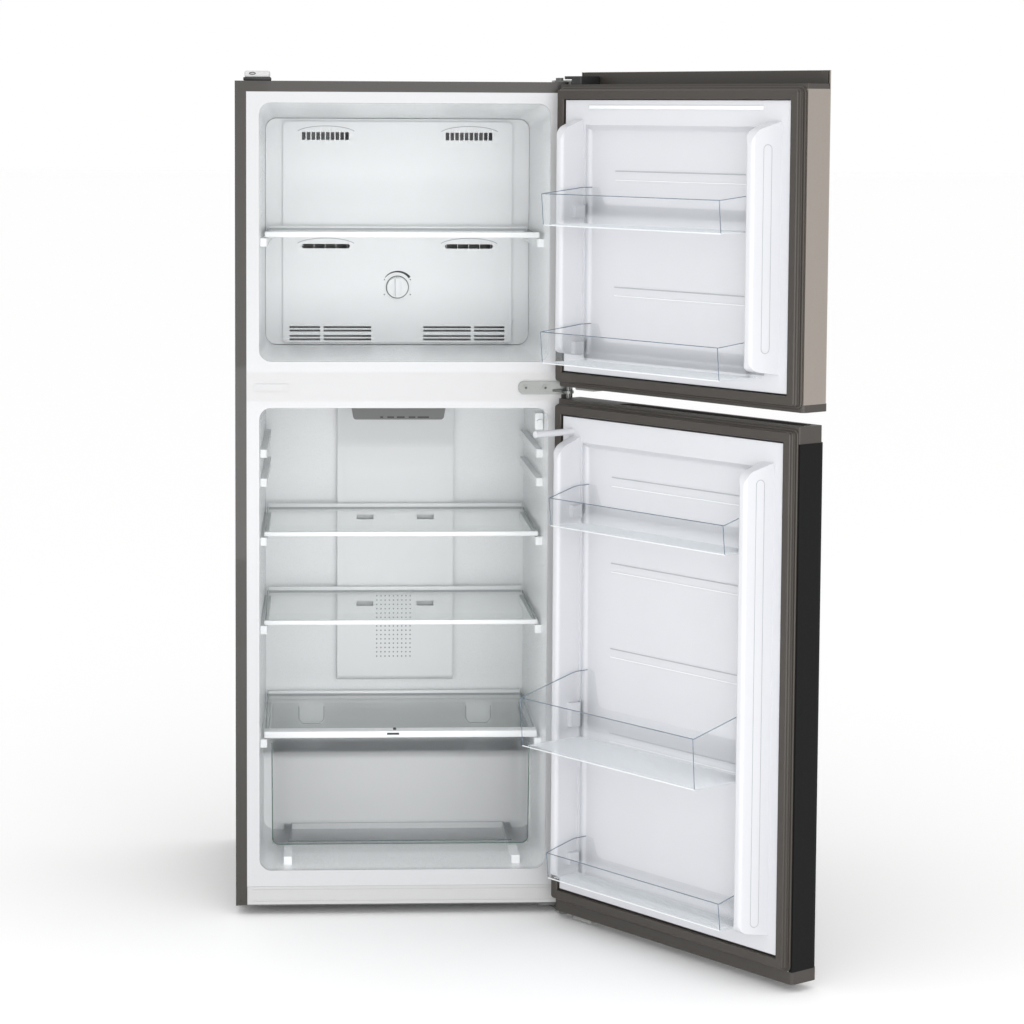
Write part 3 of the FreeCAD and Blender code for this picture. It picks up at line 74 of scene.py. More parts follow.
def add_camera():
    data = bpy.data.cameras.new("camera")
    data.lens = 106.0
    data.sensor_width = 36.0
    data.shift_x = 0.0605
    data.shift_y = -0.1289
    camera = bpy.data.objects.new("camera", data)
    bpy.context.scene.collection.objects.link(camera)
    yaw, pitch, roll = -0.0501, -0.0902, -0.0048
    level = Matrix.Rotation(math.pi / 2, 4, "X")
    turn = Matrix.Rotation(yaw, 4, "Z") @ Matrix.Rotation(pitch, 4, "X")
    turn = turn @ Matrix.Rotation(roll, 4, "Y")
    camera.matrix_world = Matrix.Translation((-0.1762, -5.0496, 1.3573)) @ turn @ level
    bpy.context.scene.camera = camera


def add_softbox(name, place, aim, size, power):
    data = bpy.data.lights.new(name, "AREA")
    data.shape = "RECTANGLE"
    data.size = size[0]
    data.size_y = size[1]
    data.energy = power
    lamp = bpy.data.objects.new(name, data)
    lamp.location = place
    lamp.rotation_euler = (Vector(aim) - Vector(place)).to_track_quat("-Z", "Y").to_euler()
    bpy.context.scene.collection.objects.link(lamp)


def add_light():
    world = bpy.data.worlds.new("studio")
    world.use_nodes = True
    background = world.node_tree.nodes["Background"]
    background.inputs["Color"].default_value = (1.0, 1.0, 1.0, 1.0)
    background.inputs["Strength"].default_value = 1.0
    bpy.context.scene.world = world
    middle = (0.1, 0.0, 0.7)
    add_softbox("front_box", (0.9, -4.4, 1.5), middle, (2.4, 2.2), 48)
    add_softbox("left_box", (-2.8, -2.2, 1.5), middle, (1.4, 2.2), 3)
    add_softbox("low_box", (-0.1, -2.6, 0.45), (0.0, 0.2, 0.2), (1.4, 0.5), 12)
    add_softbox("top_box", (0.2, -1.2, 3.2), middle, (2.6, 1.8), 5)
    bpy.context.scene.view_settings.view_transform = "Standard"


def add_floor():
    size = 60.0
    low = cad_bounds[0][2]
    corners = [(-size, -size, low), (size, -size, low), (size, size, low), (-size, size, low)]
    mesh = bpy.data.meshes.new("floor")
    mesh.from_pydata(corners, [], [(0, 1, 2, 3)])
    floor = bpy.data.objects.new("floor", mesh)
    mesh.materials.append(moulded("floor_white", srgb(254, 254, 254), 0.8, grain=0.0, bump=0.0))
    bpy.context.scene.collection.objects.link(floor)


# ----------------------------------------------------------------------------------------
# Materials
# ----------------------------------------------------------------------------------------


def srgb(red, green, blue):
    """A display colour of 0 to 255 as linear values."""
    values = []
    for level in (red, green, blue):
        share = level / 255
        values.append(share / 12.92 if share <= 0.04045 else ((share + 0.055) / 1.055) ** 2.4)
    return values


def new_material(name):
    material = bpy.data.materials.new(name)
    material.use_nodes = True
    tree = material.node_tree
    return material, tree.nodes, tree.links, tree.nodes["Principled BSDF"]


def noise(nodes, links, scale, stretch=(1, 1, 1), detail=3.0):
    """Noise in the piece's own space. Stretch draws it out along an axis with a small value."""
    place = nodes.new("ShaderNodeTexCoord")
    mapping = nodes.new("ShaderNodeMapping")
    mapping.inputs["Scale"].default_value = stretch
    texture = nodes.new("ShaderNodeTexNoise")
    texture.inputs["Scale"].default_value = scale
    texture.inputs["Detail"].default_value = detail
    links.new(place.outputs["Object"], mapping.inputs["Vector"])
    links.new(mapping.outputs["Vector"], texture.inputs["Vector"])
    return texture.outputs["Fac"]


def vary_colour(nodes, links, shader, source, colour, amount):
    ramp = nodes.new("ShaderNodeValToRGB")
    ramp.color_ramp.elements[0].position = 0.3
    ramp.color_ramp.elements[1].position = 0.7
    ramp.color_ramp.elements[0].color = [c * (1 - amount) for c in colour] + [1]
    ramp.color_ramp.elements[1].color = [min(c * (1 + amount), 1) for c in colour] + [1]
    links.new(source, ramp.inputs["Fac"])
    links.new(ramp.outputs["Color"], shader.inputs["Base Color"])


def vary_roughness(nodes, links, shader, source, roughness, amount):
    spread = nodes.new("ShaderNodeMapRange")
    spread.inputs["To Min"].default_value = max(roughness - amount, 0.02)
    spread.inputs["To Max"].default_value = min(roughness + amount, 1)
    links.new(source, spread.inputs["Value"])
    links.new(spread.outputs["Result"], shader.inputs["Roughness"])


def add_bump(nodes, links, shader, source, distance):
    bump = nodes.new("ShaderNodeBump")
    bump.inputs["Strength"].default_value = 0.5
    bump.inputs["Distance"].default_value = distance
    links.new(source, bump.inputs["Height"])
    links.new(bump.outputs["Normal"], shader.inputs["Normal"])


def moulded(name, colour, roughness, grain=0.03, bump=0.00004, grain_scale=900):
    """Injection moulded or vacuum formed plastic, with a fine grain and slight unevenness."""
    material, nodes, links, shader = new_material(name)
    vary_colour(nodes, links, shader, noise(nodes, links, 6), colour, grain)
    fine = noise(nodes, links, grain_scale)
    vary_roughness(nodes, links, shader, fine, roughness, 0.06)
    if bump > 0:
        add_bump(nodes, links, shader, fine, bump)
    return material


def cavity_white(name, colour, flange_shade_colour, roughness):
    """Liner plastic, with painted shade on the flange at the mouth: a shade greyer there than
    inside the compartment.
    """
    material, nodes, links, shader = new_material(name)
    place = nodes.new("ShaderNodeTexCoord")
    split = nodes.new("ShaderNodeSeparateXYZ")
    depth = nodes.new("ShaderNodeMapRange")
    depth.inputs["From Min"].default_value = 0.001
    depth.inputs["From Max"].default_value = 0.02
    mix = nodes.new("ShaderNodeMix")
    mix.data_type = "RGBA"
    mix.inputs["A"].default_value = flange_shade_colour + [1]
    mix.inputs["B"].default_value = colour + [1]
    links.new(place.outputs["Object"], split.inputs["Vector"])
    links.new(split.outputs["Y"], depth.inputs["Value"])
    links.new(depth.outputs["Result"], mix.inputs["Factor"])
    links.new(mix.outputs["Result"], shader.inputs["Base Color"])
    vary_roughness(nodes, links, shader, noise(nodes, links, 900), roughness, 0.06)
    return material


def brushed(name, colour, roughness, stretch, grain=0.16, metallic=1.0):
    """Sheet metal with a fine grain drawn out along one direction."""
    material, nodes, links, shader = new_material(name)
    lines = noise(nodes, links, 240, stretch, 6)
    vary_colour(nodes, links, shader, lines, colour, grain)
    vary_roughness(nodes, links, shader, lines, roughness, 0.1)
    add_bump(nodes, links, shader, lines, 0.00003)
    shader.inputs["Metallic"].default_value = metallic
    return material


def painted(name, colour, roughness, grain=0.08, coat=0.15):
    """Paint on sheet steel: an even coat with a fine orange peel and tiny flakes."""
    material, nodes, links, shader = new_material(name)
    vary_colour(nodes, links, shader, noise(nodes, links, 1500, detail=2), colour, grain)
    peel = noise(nodes, links, 260)
    vary_roughness(nodes, links, shader, peel, roughness, 0.08)
    add_bump(nodes, links, shader, peel, 0.00003)
    shader.inputs["Coat Weight"].default_value = coat
    shader.inputs["Specular IOR Level"].default_value = 0.5 if coat else 0.15
    return material


def clear(name, colour, face_alpha, edge_alpha, roughness=0.05, frost=0.0):
    """Clear sheet: nearly invisible face on, and tinted where it is seen along its surface."""
    material, nodes, links, shader = new_material(name)
    vary_colour(nodes, links, shader, noise(nodes, links, 5), colour, 0.02)
    vary_roughness(nodes, links, shader, noise(nodes, links, 400), roughness, 0.02 + frost)
    glance = nodes.new("ShaderNodeLayerWeight")
    glance.inputs["Blend"].default_value = 0.35
    spread = nodes.new("ShaderNodeMapRange")
    spread.inputs["To Min"].default_value = face_alpha
    spread.inputs["To Max"].default_value = edge_alpha
    links.new(glance.outputs["Facing"], spread.inputs["Value"])
    links.new(spread.outputs["Result"], shader.inputs["Alpha"])
    return material


WHITE = srgb(234, 236, 237)


def make_materials():
    made = {
        "cabinet_paint": painted("cabinet_paint", srgb(47, 43, 38), 0.42),
        "door_steel": brushed("door_steel", srgb(168, 160, 152), 0.34, (1, 1, 14), 0.05),
        "dark_door": painted("dark_door", srgb(16, 16, 17), 0.6, 0.25, 0.0),
        "zinc_steel": brushed("zinc_steel", srgb(108, 110, 108), 0.34, (1, 12, 1), 0.06, 0.8),
        # Liner white with painted shade: the flange at the mouth is made greyer than inside the
        # compartment.
        "cavity_white": cavity_white("cavity_white", WHITE, srgb(196, 197, 199), 0.28),
        "white_liner": moulded("white_liner", WHITE, 0.33, 0.008),
        # Darker copies of the white for the mullion, the corner cap's top and the door liners:
        # painted shade where the lamps light them more.
        "front_white": moulded("front_white", srgb(196, 196, 197), 0.42, 0.008),
        "door_white": moulded("door_white", srgb(207, 208, 212), 0.36, 0.008),
        "clear_plastic": clear("clear_plastic", srgb(222, 230, 236), 0.015, 0.13),
        "clear_edge": clear("clear_edge", srgb(104, 122, 140), 0.62, 0.85),
        "shelf_glass": clear("shelf_glass", srgb(205, 222, 216), 0.03, 0.16, 0.03),
        "glass_edge": clear("glass_edge", srgb(96, 118, 112), 0.75, 0.9),
        "gasket_vinyl": moulded("gasket_vinyl", srgb(58, 53, 48), 0.45, 0.06),
        "grey_plastic": moulded("grey_plastic", srgb(112, 112, 112), 0.5),
        "dark_plastic": moulded("dark_plastic", srgb(34, 34, 35), 0.45),
        "cap_plastic": moulded("cap_plastic", srgb(60, 56, 52), 0.5),
        "kick_grey": moulded("kick_grey", srgb(190, 190, 190), 0.5, 0.01),
        "insulation": moulded("insulation", srgb(232, 216, 160), 0.9, 0.12, 0.0003, 60),
        "compressor_black": painted("compressor_black", srgb(28, 28, 30), 0.35),
        "copper_tube": brushed("copper_tube", srgb(196, 122, 88), 0.3, (8, 1, 1)),
        "aluminium": brushed("aluminium", srgb(198, 200, 202), 0.35, (10, 1, 1)),
        "black_rubber": moulded("black_rubber", srgb(24, 24, 24), 0.8, 0.1),
        "print_dark": moulded("print_dark", srgb(58, 60, 62), 0.6, 0.02),
        # Grey for painted shade in the door grooves, round the rib slots and along the vent hood
        # edges, and for thin lines on the shelves and the drawer.
        "shade_grey": moulded("shade_grey", srgb(172, 175, 178), 0.6, 0.01),
        # Grey of the painted shade in the duct's small air holes.
        "print_grey": moulded("print_grey", srgb(122, 124, 127), 0.6, 0.01),
        "faint_grey": moulded("faint_grey", srgb(205, 208, 212), 0.6, 0.01),
        "stop_grey": moulded("stop_grey", srgb(150, 150, 148), 0.5, 0.03),
        "frosted": clear("frosted", srgb(238, 242, 246), 0.35, 0.6, 0.3),
    }
    return made


# Nodes whose white differs a little from the slot's: the mullion, its plug and the door liners take
# darker copies of the white, painted shade where the lamps light them more, and the compartment
# liners take a white with painted shade on the flange.
WHITES = {
    "mullion_cover": "front_white",
    "mullion_plug": "front_white",
    "freezer_liner": "cavity_white",
    "fridge_liner": "cavity_white",
    "freezer_door_liner": "door_white",
    "fridge_door_liner": "door_white",
}


def paint_frame(materials):
    """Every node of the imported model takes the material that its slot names."""
    for entry in record["subparts"]:
        name = entry["node"]
        chosen = WHITES.get(name, entry["material_slot"])
        paint(frame["nodes"][name], materials[chosen])


def paint(piece, material):
    if not piece.material_slots:
        piece.data.materials.append(material)
    for place in piece.material_slots:
        place.link = "OBJECT"
        place.material = material


# ----------------------------------------------------------------------------------------
# Mesh tools
# ----------------------------------------------------------------------------------------


class Door:
    """A door's hinge and rest angle, and the way to turn shut pieces to their rest place."""

    def __init__(self, body):
        hinge = next(j for j in record["behaviour"]["joints"] if j["child"] == body)
        self.body = body
        self.pivot = Vector((hinge["pos_m"][0], hinge["pos_m"][1], 0))
        angle = math.radians(-hinge["range_deg"][0])
        there = Matrix.Translation(self.pivot)
        self.open = there @ Matrix.Rotation(angle, 4, "Z") @ there.inverted()

    def shut_box(self, node):
        """The node's lowest and highest corners with the door shut."""
        back = self.open.inverted()
        points = [back @ vertex.co for vertex in frame["nodes"][node].data.vertices]
        low = Vector([min(p[axis] for p in points) for axis in range(3)])
        high = Vector([max(p[axis] for p in points) for axis in range(3)])
        return low, high


def add_piece(name, verts, faces, body, material, door=None, slot=None, smooth=30):
    """A mesh piece that rides on a body. Door pieces are given as if the door were shut."""
    mesh = bpy.data.meshes.new(name)
    mesh.from_pydata([tuple(v) for v in verts], [], faces)
    if door:
        mesh.transform(door.open)
    tidy = bmesh.new()
    tidy.from_mesh(mesh)
    bmesh.ops.recalc_face_normals(tidy, faces=tidy.faces)
    tidy.to_mesh(mesh)
    tidy.free()
    mesh.materials.append(material)
    piece = bpy.data.objects.new(name, mesh)
    bpy.context.scene.collection.objects.link(piece)
    if smooth:
        mesh.shade_smooth()
        mesh.set_sharp_from_angle(angle=math.radians(smooth))
    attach(piece, body)
    return piece


def rounded_box(low, high, radius, steps=2):
    """Vertices and faces of a box with rounded edges."""
    low, high = Vector(low), Vector(high)
    shape = bmesh.new()
    bmesh.ops.create_cube(shape, size=1)
    for vertex in shape.verts:
        for axis in range(3):
            vertex.co[axis] = high[axis] if vertex.co[axis] > 0 else low[axis]
    bmesh.ops.bevel(
        shape, geom=shape.edges[:], offset=radius, segments=steps, profile=0.5, affect="EDGES"
    )
    return take_mesh(shape)


def box_mm(low, high, radius, steps=2):
    """A rounded box between two corners in millimetres. The radius is in metres."""
    return rounded_box(Vector(low) * MM, Vector(high) * MM, radius, steps)


def take_mesh(shape):
    shape.verts.index_update()
    verts = [vertex.co.copy() for vertex in shape.verts]
    faces = [[vertex.index for vertex in face.verts] for face in shape.faces]
    shape.free()
    return verts, faces


def merged(parts):
    """Several vertex and face lists as one."""
    verts, faces = [], []
    for part_verts, part_faces in parts:
        base = len(verts)
        verts += part_verts
        faces += [[base + index for index in face] for face in part_faces]
    return verts, faces


def loop_faces(rings, length, closed=False):
    """Faces that join rings of equal length one after another, and round each ring."""
    faces = []
    pairs = rings if closed else rings - 1
    for ring in range(pairs):
        after = (ring + 1) % rings
        for index in range(length):
            step = (index + 1) % length
            here, there = ring * length, after * length
            faces.append([here + index, here + step, there + step, there + index])
    return faces


def rounded_ring(half, low, high, radius, steps=5):
    """Points of an upright rounded rectangle, as (x, z)."""
    radius = max(radius, 0.0003)
    points = []
    corners = [(half, high, 0), (-half, high, 90), (-half, low, 180), (half, low, 270)]
    for x, z, start in corners:
        centre_x = x - math.copysign(radius, x)
        centre_z = z - radius if z == high else z + radius
        for step in range(steps + 1):
            angle = math.radians(start + 90 * step / steps)
            across, up = radius * math.cos(angle), radius * math.sin(angle)
            points.append((centre_x + across, centre_z + up))
    return points


def plain_box(low, high):
    """A small box given in millimetres, for ribs and bars too thin to need rounded edges."""
    x, y, z = zip(low, high)
    verts = [Vector((x[i], y[j], z[k])) * MM for k in (0, 1) for j in (0, 1) for i in (0, 1)]
    faces = [[0, 2, 3, 1], [4, 5, 7, 6], [0, 1, 5, 4], [2, 6, 7, 3], [0, 4, 6, 2], [1, 3, 7, 5]]
    return verts, faces


def rod(points, radius, sides=6):
    """A round rod through points given in millimetres."""
    points = [Vector(point) * MM for point in points]
    verts = []
    for index, point in enumerate(points):
        after = points[min(index + 1, len(points) - 1)]
        before = points[max(index - 1, 0)]
        along = (after - before).normalized()
        across = along.cross(Vector((0.23, 0.31, 0.92))).normalized()
        up = across.cross(along)
        for side in range(sides):
            angle = 2 * math.pi * side / sides
            verts.append(point + (across * math.cos(angle) + up * math.sin(angle)) * radius * MM)
    faces = loop_faces(len(points), sides)
    faces.append(list(range(sides)))
    faces.append([len(verts) - sides + side for side in range(sides)])
    return verts, faces


def strip(points, widths, front, depth):
    """A thin upright plate along points (x, z), facing -Y. All lengths are millimetres."""
    verts = []
    for index, (x, z) in enumerate(points):
        after = points[min(index + 1, len(points) - 1)]
        before = points[max(index - 1, 0)]
        along = Vector((after[0] - before[0], 0, after[1] - before[1])).normalized()
        off = Vector((-along.z, 0, along.x)) * widths[index] / 2
        centre = Vector((x, front, z))
        back = Vector((0, depth, 0))
        corners = (centre - off, centre + off, centre + off + back, centre - off + back)
        verts += [corner * MM for corner in corners]
    faces = loop_faces(len(points), 4)
    faces += [[0, 1, 2, 3], [len(verts) - 4 + side for side in range(4)]]
    return verts, faces


def disc(x, z, radius, front, depth, sides=8):
    """A flat round spot that faces -Y. All lengths are millimetres."""
    verts = []
    for y in (front, front + depth):
        for side in range(sides):
            angle = 2 * math.pi * side / sides
            rim = (x + radius * math.cos(angle), y, z + radius * math.sin(angle))
            verts.append(Vector(rim) * MM)
    faces = loop_faces(2, sides)
    faces += [list(range(sides)), list(range(sides, 2 * sides))]
    return verts, faces


def arc_points(x, z, radius_x, radius_z, start, end, steps):
    points = []
    for step in range(steps + 1):
        angle = math.radians(start + (end - start) * step / steps)
        points.append((x + radius_x * math.cos(angle), z + radius_z * math.sin(angle)))
    return points


# ----------------------------------------------------------------------------------------
# Door seals
# ----------------------------------------------------------------------------------------

# Across the seal, from its outer edge: distance inwards and height above the door's back.
SEAL_SECTION = [
    (0.0, 0.0), (0.0, 1.6), (1.2, 2.6), (4.2, 3.0), (5.0, 4.4), (3.6, 6.6), (3.8, 8.6), (5.4, 9.8),
    (5.2, 13.0), (6.4, 14.3), (19.4, 14.3), (20.6, 13.0), (20.4, 10.4), (17.4, 9.4), (17.2, 7.8),
    (19.6, 6.8), (20.4, 4.6), (18.4, 3.2), (19.0, 2.4), (21.0, 1.8), (21.4, 0.0),
]


def make_seal(door, node, material):
    low, high = door.shut_box(node)
    rings = []
    corner = 0.010
    for inwards, height in SEAL_SECTION:
        inset = inwards * MM
        y = low.y + height * MM
        ring = rounded_ring(high.x - inset, low.z + inset, high.z - inset, corner - inset)
        rings.append([Vector((x, y, z)) for x, z in ring])
    verts = [point for ring in rings for point in ring]
    faces = loop_faces(len(rings), len(rings[0]), closed=True)
    seal = add_piece(f"{node}_folds", verts, faces, door.body, material, door, "gasket_vinyl")
    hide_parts(node)


# ----------------------------------------------------------------------------------------
# Clear bins, shelves and drawer
# ----------------------------------------------------------------------------------------

# How far each bin's front wall stands above its floor, in millimetres.
BIN_FRONTS = {
    "freezer_bin_upper": 53,
    "freezer_bin_lower": 53,
    "fridge_bin_upper": 48,
    "fridge_bin_middle": 82,
    "fridge_bin_lower": 45,
}
RIB_PITCH = 6.5


def detail_bin(name, front_height, door, materials):
    """The bright edges of a clear bin, among them a white rod along the foot of its front that is a
    painted highlight, and the fine ribs under its floor.
    """
    low, high = door.shut_box(name)
    low, high = low / MM, high / MM
    body = f"{name}_body"
    half = high.x - 0.9
    front = high.y - 3.2
    foot = high.y - 7.6
    top = low.z + front_height - 0.6
    rim = [
        (-half, low.y + 1, high.z - 0.7), (-half, 6, high.z - 0.7), (-half, 16, high.z - 2.2),
        (-half, front - 2, top), (-half + 2, front, top), (half - 2, front, top),
        (half, front - 2, top), (half, 16, high.z - 2.2), (half, 6, high.z - 0.7),
        (half, low.y + 1, high.z - 0.7),
    ]
    posts = [rod([(x, front, top), (x, foot, low.z + 2)], 0.8) for x in (-half + 0.8, half - 0.8)]
    edges = merged([rod(rim, 0.75)] + posts)
    add_piece(f"{name}_edges", *edges, body, materials["clear_edge"], door, "clear_plastic")
    # A white rod along the foot of the front: painted highlight on the edge of the clear floor.
    floor_highlight = rod([(-half + 1, foot, low.z + 1.2), (half - 1, foot, low.z + 1.2)], 0.9)
    add_piece(f"{name}_sill", *floor_highlight, body, materials["white_liner"], door, "clear_plastic")
    ribs = []
    count = int((2 * half - 12) / RIB_PITCH)
    for index in range(count + 1):
        x = -half + 6 + index * RIB_PITCH
        ribs.append(plain_box((x - 0.9, 5, low.z + 1.6), (x + 0.9, foot - 6, low.z + 2.9)))
    add_piece(
        f"{name}_ribs", *merged(ribs), body, materials["frosted"], door, "clear_plastic", smooth=0
    )


# Node, top of the pane, front trim depth, front trim low and high edge, in millimetres.
SHELVES = [
    ("freezer_shelf", 1140.4, 9, 1134.6, 1144.2),
    ("shelf_upper", 625.5, 9, 618.5, 626.5),
    ("shelf_lower", 471.0, 9, 464.0, 472.0),
    ("crisper_cover", 276.0, 30, 265.4, 277.0),
]
GLASS = 4.0


def make_shelf(name, pane_top, trim_depth, trim_low, trim_high, materials):
    """A glass pane between a white front trim and a low rear trim, with dark ground edges."""
    low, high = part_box(name)
    low, high = Vector(low) / MM, Vector(high) / MM
    body = f"{name}_body"
    half = high.x
    pane_low = pane_top - GLASS
    front = low.y + trim_depth - 3
    pane = box_mm((-half + 2.4, front, pane_low), (half - 2.4, high.y - 3, pane_top), 0.0004)
    glass = add_piece(f"{name}_pane", *pane, body, materials["shelf_glass"], None, "shelf_glass")
    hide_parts(name)
    trims = [
        box_mm((-half, low.y, trim_low), (half, low.y + trim_depth, trim_high), 0.0014, 3),
        box_mm((-half + 4, high.y - 8, trim_low), (half - 4, high.y, high.z), 0.0012, 3),
    ]
    add_piece(f"{name}_trims", *merged(trims), body, materials["white_liner"], None, "white_liner")
    ends = []
    for side in (-1, 1):
        x = sorted((side * (half - 3.2), side * (half - 1.6)))
        ends.append(
            plain_box((x[0], front + 4, pane_low - 0.3), (x[1], high.y - 9, pane_top + 0.3))
        )
    line = high.y - 9.4
    rear = plain_box((-half + 5, line, pane_low), (half - 5, line + 1.2, pane_top + 0.25))
    add_piece(
        f"{name}_rear_line", *rear, body, materials["shade_grey"], None, "shelf_glass", smooth=0
    )
    add_piece(
        f"{name}_ground_edges", *merged(ends), body,
        materials["glass_edge"], None, "shelf_glass", smooth=0
    )


# How far back the line along the rear of the drawer's floor lies, in millimetres.
DRAWER_LINE_REAR = 268


def detail_drawer(materials):
    """The dark outline of the clear drawer's front, and the lines of its floor and notches."""
    low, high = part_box("crisper_drawer")
    low, high = Vector(low) / MM, Vector(high) / MM
    half = high.x - 2.2
    lean = 6 / (high.z - low.z)

    def on_front(x, z):
        return (x, low.y + 1.4 + (high.z - z) * lean, z)

    left = arc_points(-half + 13, low.z + 13, 12, 12, 180, 270, 6)
    right = arc_points(half - 13, low.z + 13, 12, 12, 270, 360, 6)
    outline = [on_front(-half, high.z - 4)] + [on_front(x, z) for x, z in left + right]
    outline.append(on_front(half, high.z - 4))
    inner = low.y + 20
    floor_line = low.z + 3.2
    lines = [
        rod(outline, 1.1),
        rod([(-half + 28, inner, floor_line), (half - 28, inner, floor_line)], 0.8),
    ]
    add_piece(
        "crisper_drawer_outline", *merged(lines), "crisper_drawer_body",
        materials["glass_edge"], None, "clear_plastic"
    )
    soft = []
    for side in (-1, 1):
        near, far = side * (half - 28), side * (half - 34)
        soft.append(rod([(near, inner, floor_line), (far, DRAWER_LINE_REAR, floor_line)], 0.7))
        notch = [(side * 131, 256), (side * 131, 232)]
        notch += [(side * 138, 223.6), (side * 170, 223.6), (side * 177, 232), (side * 177, 256)]
        soft.append(rod([(x, 441, z) for x, z in notch], 0.9))
    rear = [(-half + 34, DRAWER_LINE_REAR, floor_line), (half - 34, DRAWER_LINE_REAR, floor_line)]
    soft.append(rod(rear, 0.7))
    add_piece(
        "crisper_drawer_lines", *merged(soft), "crisper_drawer_body",
        materials["shade_grey"], None, "clear_plastic"
    )


# ----------------------------------------------------------------------------------------
# Small fittings and marks
# ----------------------------------------------------------------------------------------

COVER_FACE = 378.0
DUCT_FACE = 457.0
KNOB_Z = 1034.0
VENT_X = 129.0
VENT_LEVELS = (1309, 1108)
# Spacing of the faint dots on the freezer cover, and of the air holes in the duct.
DOT_PITCH = 8.4
HOLE_PITCH_X = 7.7
HOLE_PITCH_Z = 8.05


def mark_freezer_cover(materials):
    """Painted shade along the edge of the hood over each air vent, the knob's ring and scale, and a
    faint field of dots.
    """
    # Thin grey arcs over the vents: painted shade along the edge of each vent's hood.
    hood_shade = []
    for side in (-1, 1):
        for level in VENT_LEVELS:
            points = arc_points(side * VENT_X, level, 54, 14, 160, 20, 16)
            hood_shade.append(strip(points, [1.1] * len(points), COVER_FACE - 0.5, 0.8))
    add_piece(
        "vent_hood_shade", *merged(hood_shade), "cabinet",
        materials["shade_grey"], None, "white_liner", smooth=0
    )
    ring = arc_points(0, KNOB_Z, 20, 20, 90, 450, 40)
    scale = arc_points(0, KNOB_Z + 5, 26, 23, 148, 32, 16)
    marks = [
        strip(ring, [1.2] * len(ring), COVER_FACE - 0.4, 0.6),
        strip(scale, [1.2 + 0.2 * step for step in range(len(scale))], COVER_FACE - 0.4, 0.6),
    ]
    for angle in (150, 30, 210, 330):
        tick = arc_points(0, KNOB_Z, 27, 27, angle - 2, angle + 2, 2)
        marks.append(strip(tick, [2.0] * 3, COVER_FACE - 0.4, 0.6))
    add_piece(
        "knob_scale", *merged(marks), "cabinet",
        materials["print_dark"], None, "grey_plastic", smooth=0
    )
    dots = []
    for column in range(12):
        for row in range(9):
            x, z = -69 + column * DOT_PITCH, 1252 + row * DOT_PITCH
            dots.append(disc(x, z, 0.9, COVER_FACE + 2.2, 0.5, 6))
    add_piece(
        "cover_dots", *merged(dots), "cabinet",
        materials["faint_grey"], None, "white_liner", smooth=0
    )


def mark_duct(materials):
    """Grey discs of painted shade in place of the small air holes low on the duct, and dark marks
    of painted shade in the small openings behind the shelves.
    """
    # Grey discs stand for the holes: painted shade.
    dots = []
    for column in range(9):
        for row in range(15):
            x, z = -33.5 + column * HOLE_PITCH_X, 346 + row * HOLE_PITCH_Z
            dots.append(disc(x, z, 1.35, DUCT_FACE - 0.25, 0.5, 6))
    add_piece(
        "duct_hole_shade", *merged(dots), "cabinet",
        materials["print_grey"], None, "grey_plastic", smooth=0
    )
    # Dark marks in the openings of the lamp cover: painted shade.
    opening_shade = []
    for x, width in ((-30, 5), (-14, 12), (4, 14), (24, 12), (44, 20)):
        opening_shade.append(plain_box((x - width / 2, 289.6, 806), (x + width / 2, 290.4, 808.6)))
    add_piece(
        "lamp_opening_shade", *merged(opening_shade), "cabinet",
        materials["dark_plastic"], None, "dark_plastic", smooth=0
    )


def mark_crisper(materials):
    """A plain dark mark near the front of the crisper cover."""
    mark = plain_box((-24, 112.7, 270.6), (-3, 113.2, 274.2))
    add_piece(
        "crisper_mark", *mark, "crisper_cover_body",
        materials["print_dark"], None, "grey_plastic", smooth=0
    )


def mark_cabinet(materials):
    """Small dark spots low on the flange and on the strip between the openings: painted shade in a
    hole in the flange and in the recesses of the two hinge screws on the strip.
    """
    # Dark discs: painted shade in a hole and in screw recesses.
    spots = [disc(-275.5, 9, 2.0, -0.3, 0.5, 12)]
    for x in (205, 238):
        spots.append(disc(x, 887.2, 2.0, -5.5, 0.5, 12))
    add_piece(
        "hole_and_recess_shade", *merged(spots), "cabinet",
        materials["dark_plastic"], None, "dark_plastic", smooth=0
    )


def make_corner_cap(materials):
    """Two-tone cap over the unused hinge holes."""
    low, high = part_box("hinge_hole_cap")
    low, high = Vector(low) / MM, Vector(high) / MM
    split = low.z + 6
    foot = box_mm(low, (high.x, high.y, split), 0.0015)
    base = add_piece(
        "corner_cap_foot", *foot, "cabinet", materials["dark_plastic"], None, "cap_plastic"
    )
    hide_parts("hinge_hole_cap")
    top = box_mm(
        (low.x + 2, low.y + 2, split - 0.5), (high.x - 2, high.y - 2, high.z), 0.003, 3
    )
    # The cap's top takes the darker white of the fronts: painted shade.
    add_piece("corner_cap_top", *top, "cabinet", materials["front_white"], None, "cap_plastic")
    middle = (low.x + high.x) / 2
    oval = strip(
        arc_points(middle - 8, high.z - 4.5, 5, 1.6, 90, 450, 16), [1.4] * 17, low.y + 1.7, 0.5
    )
    add_piece(
        "corner_cap_mark", *oval, "cabinet",
        materials["print_dark"], None, "dark_plastic", smooth=0
    )


# Body, low corner and high corner of each door stop with the door shut, in millimetres.
STOPS = [
    ("freezer_door", (205.6, -52.4, 888.6), (250.4, -23.6, 892.8)),
    ("fridge_door", (199.6, -52.4, -11.6), (244.4, -23.6, -2.4)),
]


def make_stops(doors, materials):
    """The grey stop under each door, beside its hinge."""
    for body, low, high in STOPS:
        shape = box_mm(low, high, 0.0012)
        add_piece(f"{body}_stop", *shape, body, materials["stop_grey"], doors[body], "grey_plastic")


# Body, lowest and highest of the slot on each rib, and heights of the paired grooves.
LINER_LINES = [
    ("freezer_door", 990, 1296, [1240, 1255, 1051, 1065]),
    ("fridge_door", 92, 781, [736.7, 751.5, 594.4, 608.5, 452, 466, 310, 324]),
]
RECESS_FLOOR = -20.0
RECESS_HALF = 151


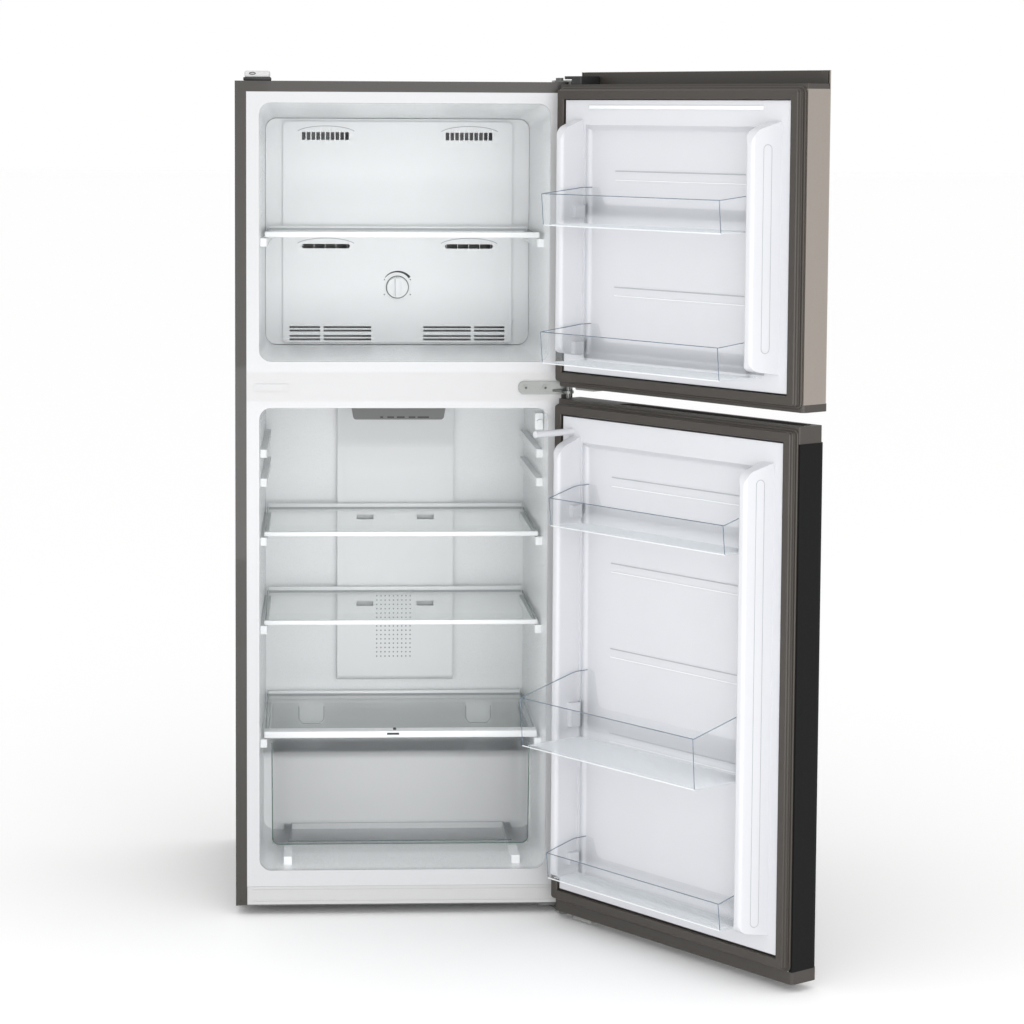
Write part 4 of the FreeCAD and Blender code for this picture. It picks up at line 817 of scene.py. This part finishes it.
def line_liner(body, low, high, levels, door, materials):
    """Grooves across the recess, drawn as a painted shadow line over a painted highlight line, and
    a grey outline of painted shade round a long slot on each rib.
    """
    # The upper line of each pair is painted shadow; the lower is a painted highlight in a lighter
    # white than the door's liner.
    dark, light = [], []
    for count, level in enumerate(levels):
        depth = RECESS_FLOOR + 0.5
        line = rod([(-RECESS_HALF, depth, level), (RECESS_HALF, depth, level)], 1.0)
        (dark if count % 2 else light).append(line)
    add_piece(
        f"{body}_groove_painted_shadow", *merged(dark), body, materials["shade_grey"], door, "white_liner"
    )
    add_piece(
        f"{body}_groove_painted_highlight", *merged(light), body,
        materials["white_liner"], door, "white_liner"
    )
    # Outlines round the slots on the ribs: painted shade.
    slots = []
    for side in (-1, 1):
        loop = []
        for y, z in arc_points(19, high, 7, 7, 0, 180, 8) + arc_points(19, low, 7, 7, 180, 360, 8):
            x = 227 + (45 - y) * 13 / 51
            loop.append((side * (x + 0.1), y, z))
        slots.append(rod(loop + loop[:1], 0.55))
    add_piece(
        f"{body}_rib_slot_shade", *merged(slots), body, materials["shade_grey"], door, "white_liner"
    )


def mark_freezer_ledge(door, materials):
    """The raised bar along the top ledge of the freezer door's liner."""
    bar = box_mm((-200, -6, 1355.5), (200, -2.6, 1362), 0.0012, 3)
    add_piece(
        "freezer_ledge_bar", *bar, "freezer_door", materials["white_liner"], door, "white_liner"
    )


# ----------------------------------------------------------------------------------------
# The whole
# ----------------------------------------------------------------------------------------


def build():
    add_camera()
    add_light()
    materials = make_materials()
    add_floor()
    paint_frame(materials)
    paint(frame["nodes"]["humidity_slider"], materials["print_dark"])
    doors = {prefix: Door(prefix) for prefix in ("freezer_door", "fridge_door")}
    for prefix, door in doors.items():
        make_seal(door, f"{prefix}_gasket", materials["gasket_vinyl"])
    for name, front_height in BIN_FRONTS.items():
        door = doors["freezer_door" if name.startswith("freezer") else "fridge_door"]
        detail_bin(name, front_height, door, materials)
    for shelf in SHELVES:
        make_shelf(*shelf, materials)
    detail_drawer(materials)
    mark_freezer_cover(materials)
    mark_duct(materials)
    mark_crisper(materials)
    mark_cabinet(materials)
    make_corner_cap(materials)
    make_stops(doors, materials)
    mark_freezer_ledge(doors["freezer_door"], materials)
    for body, low, high, levels in LINER_LINES:
        line_liner(body, low, high, levels, doors[body], materials)


build()
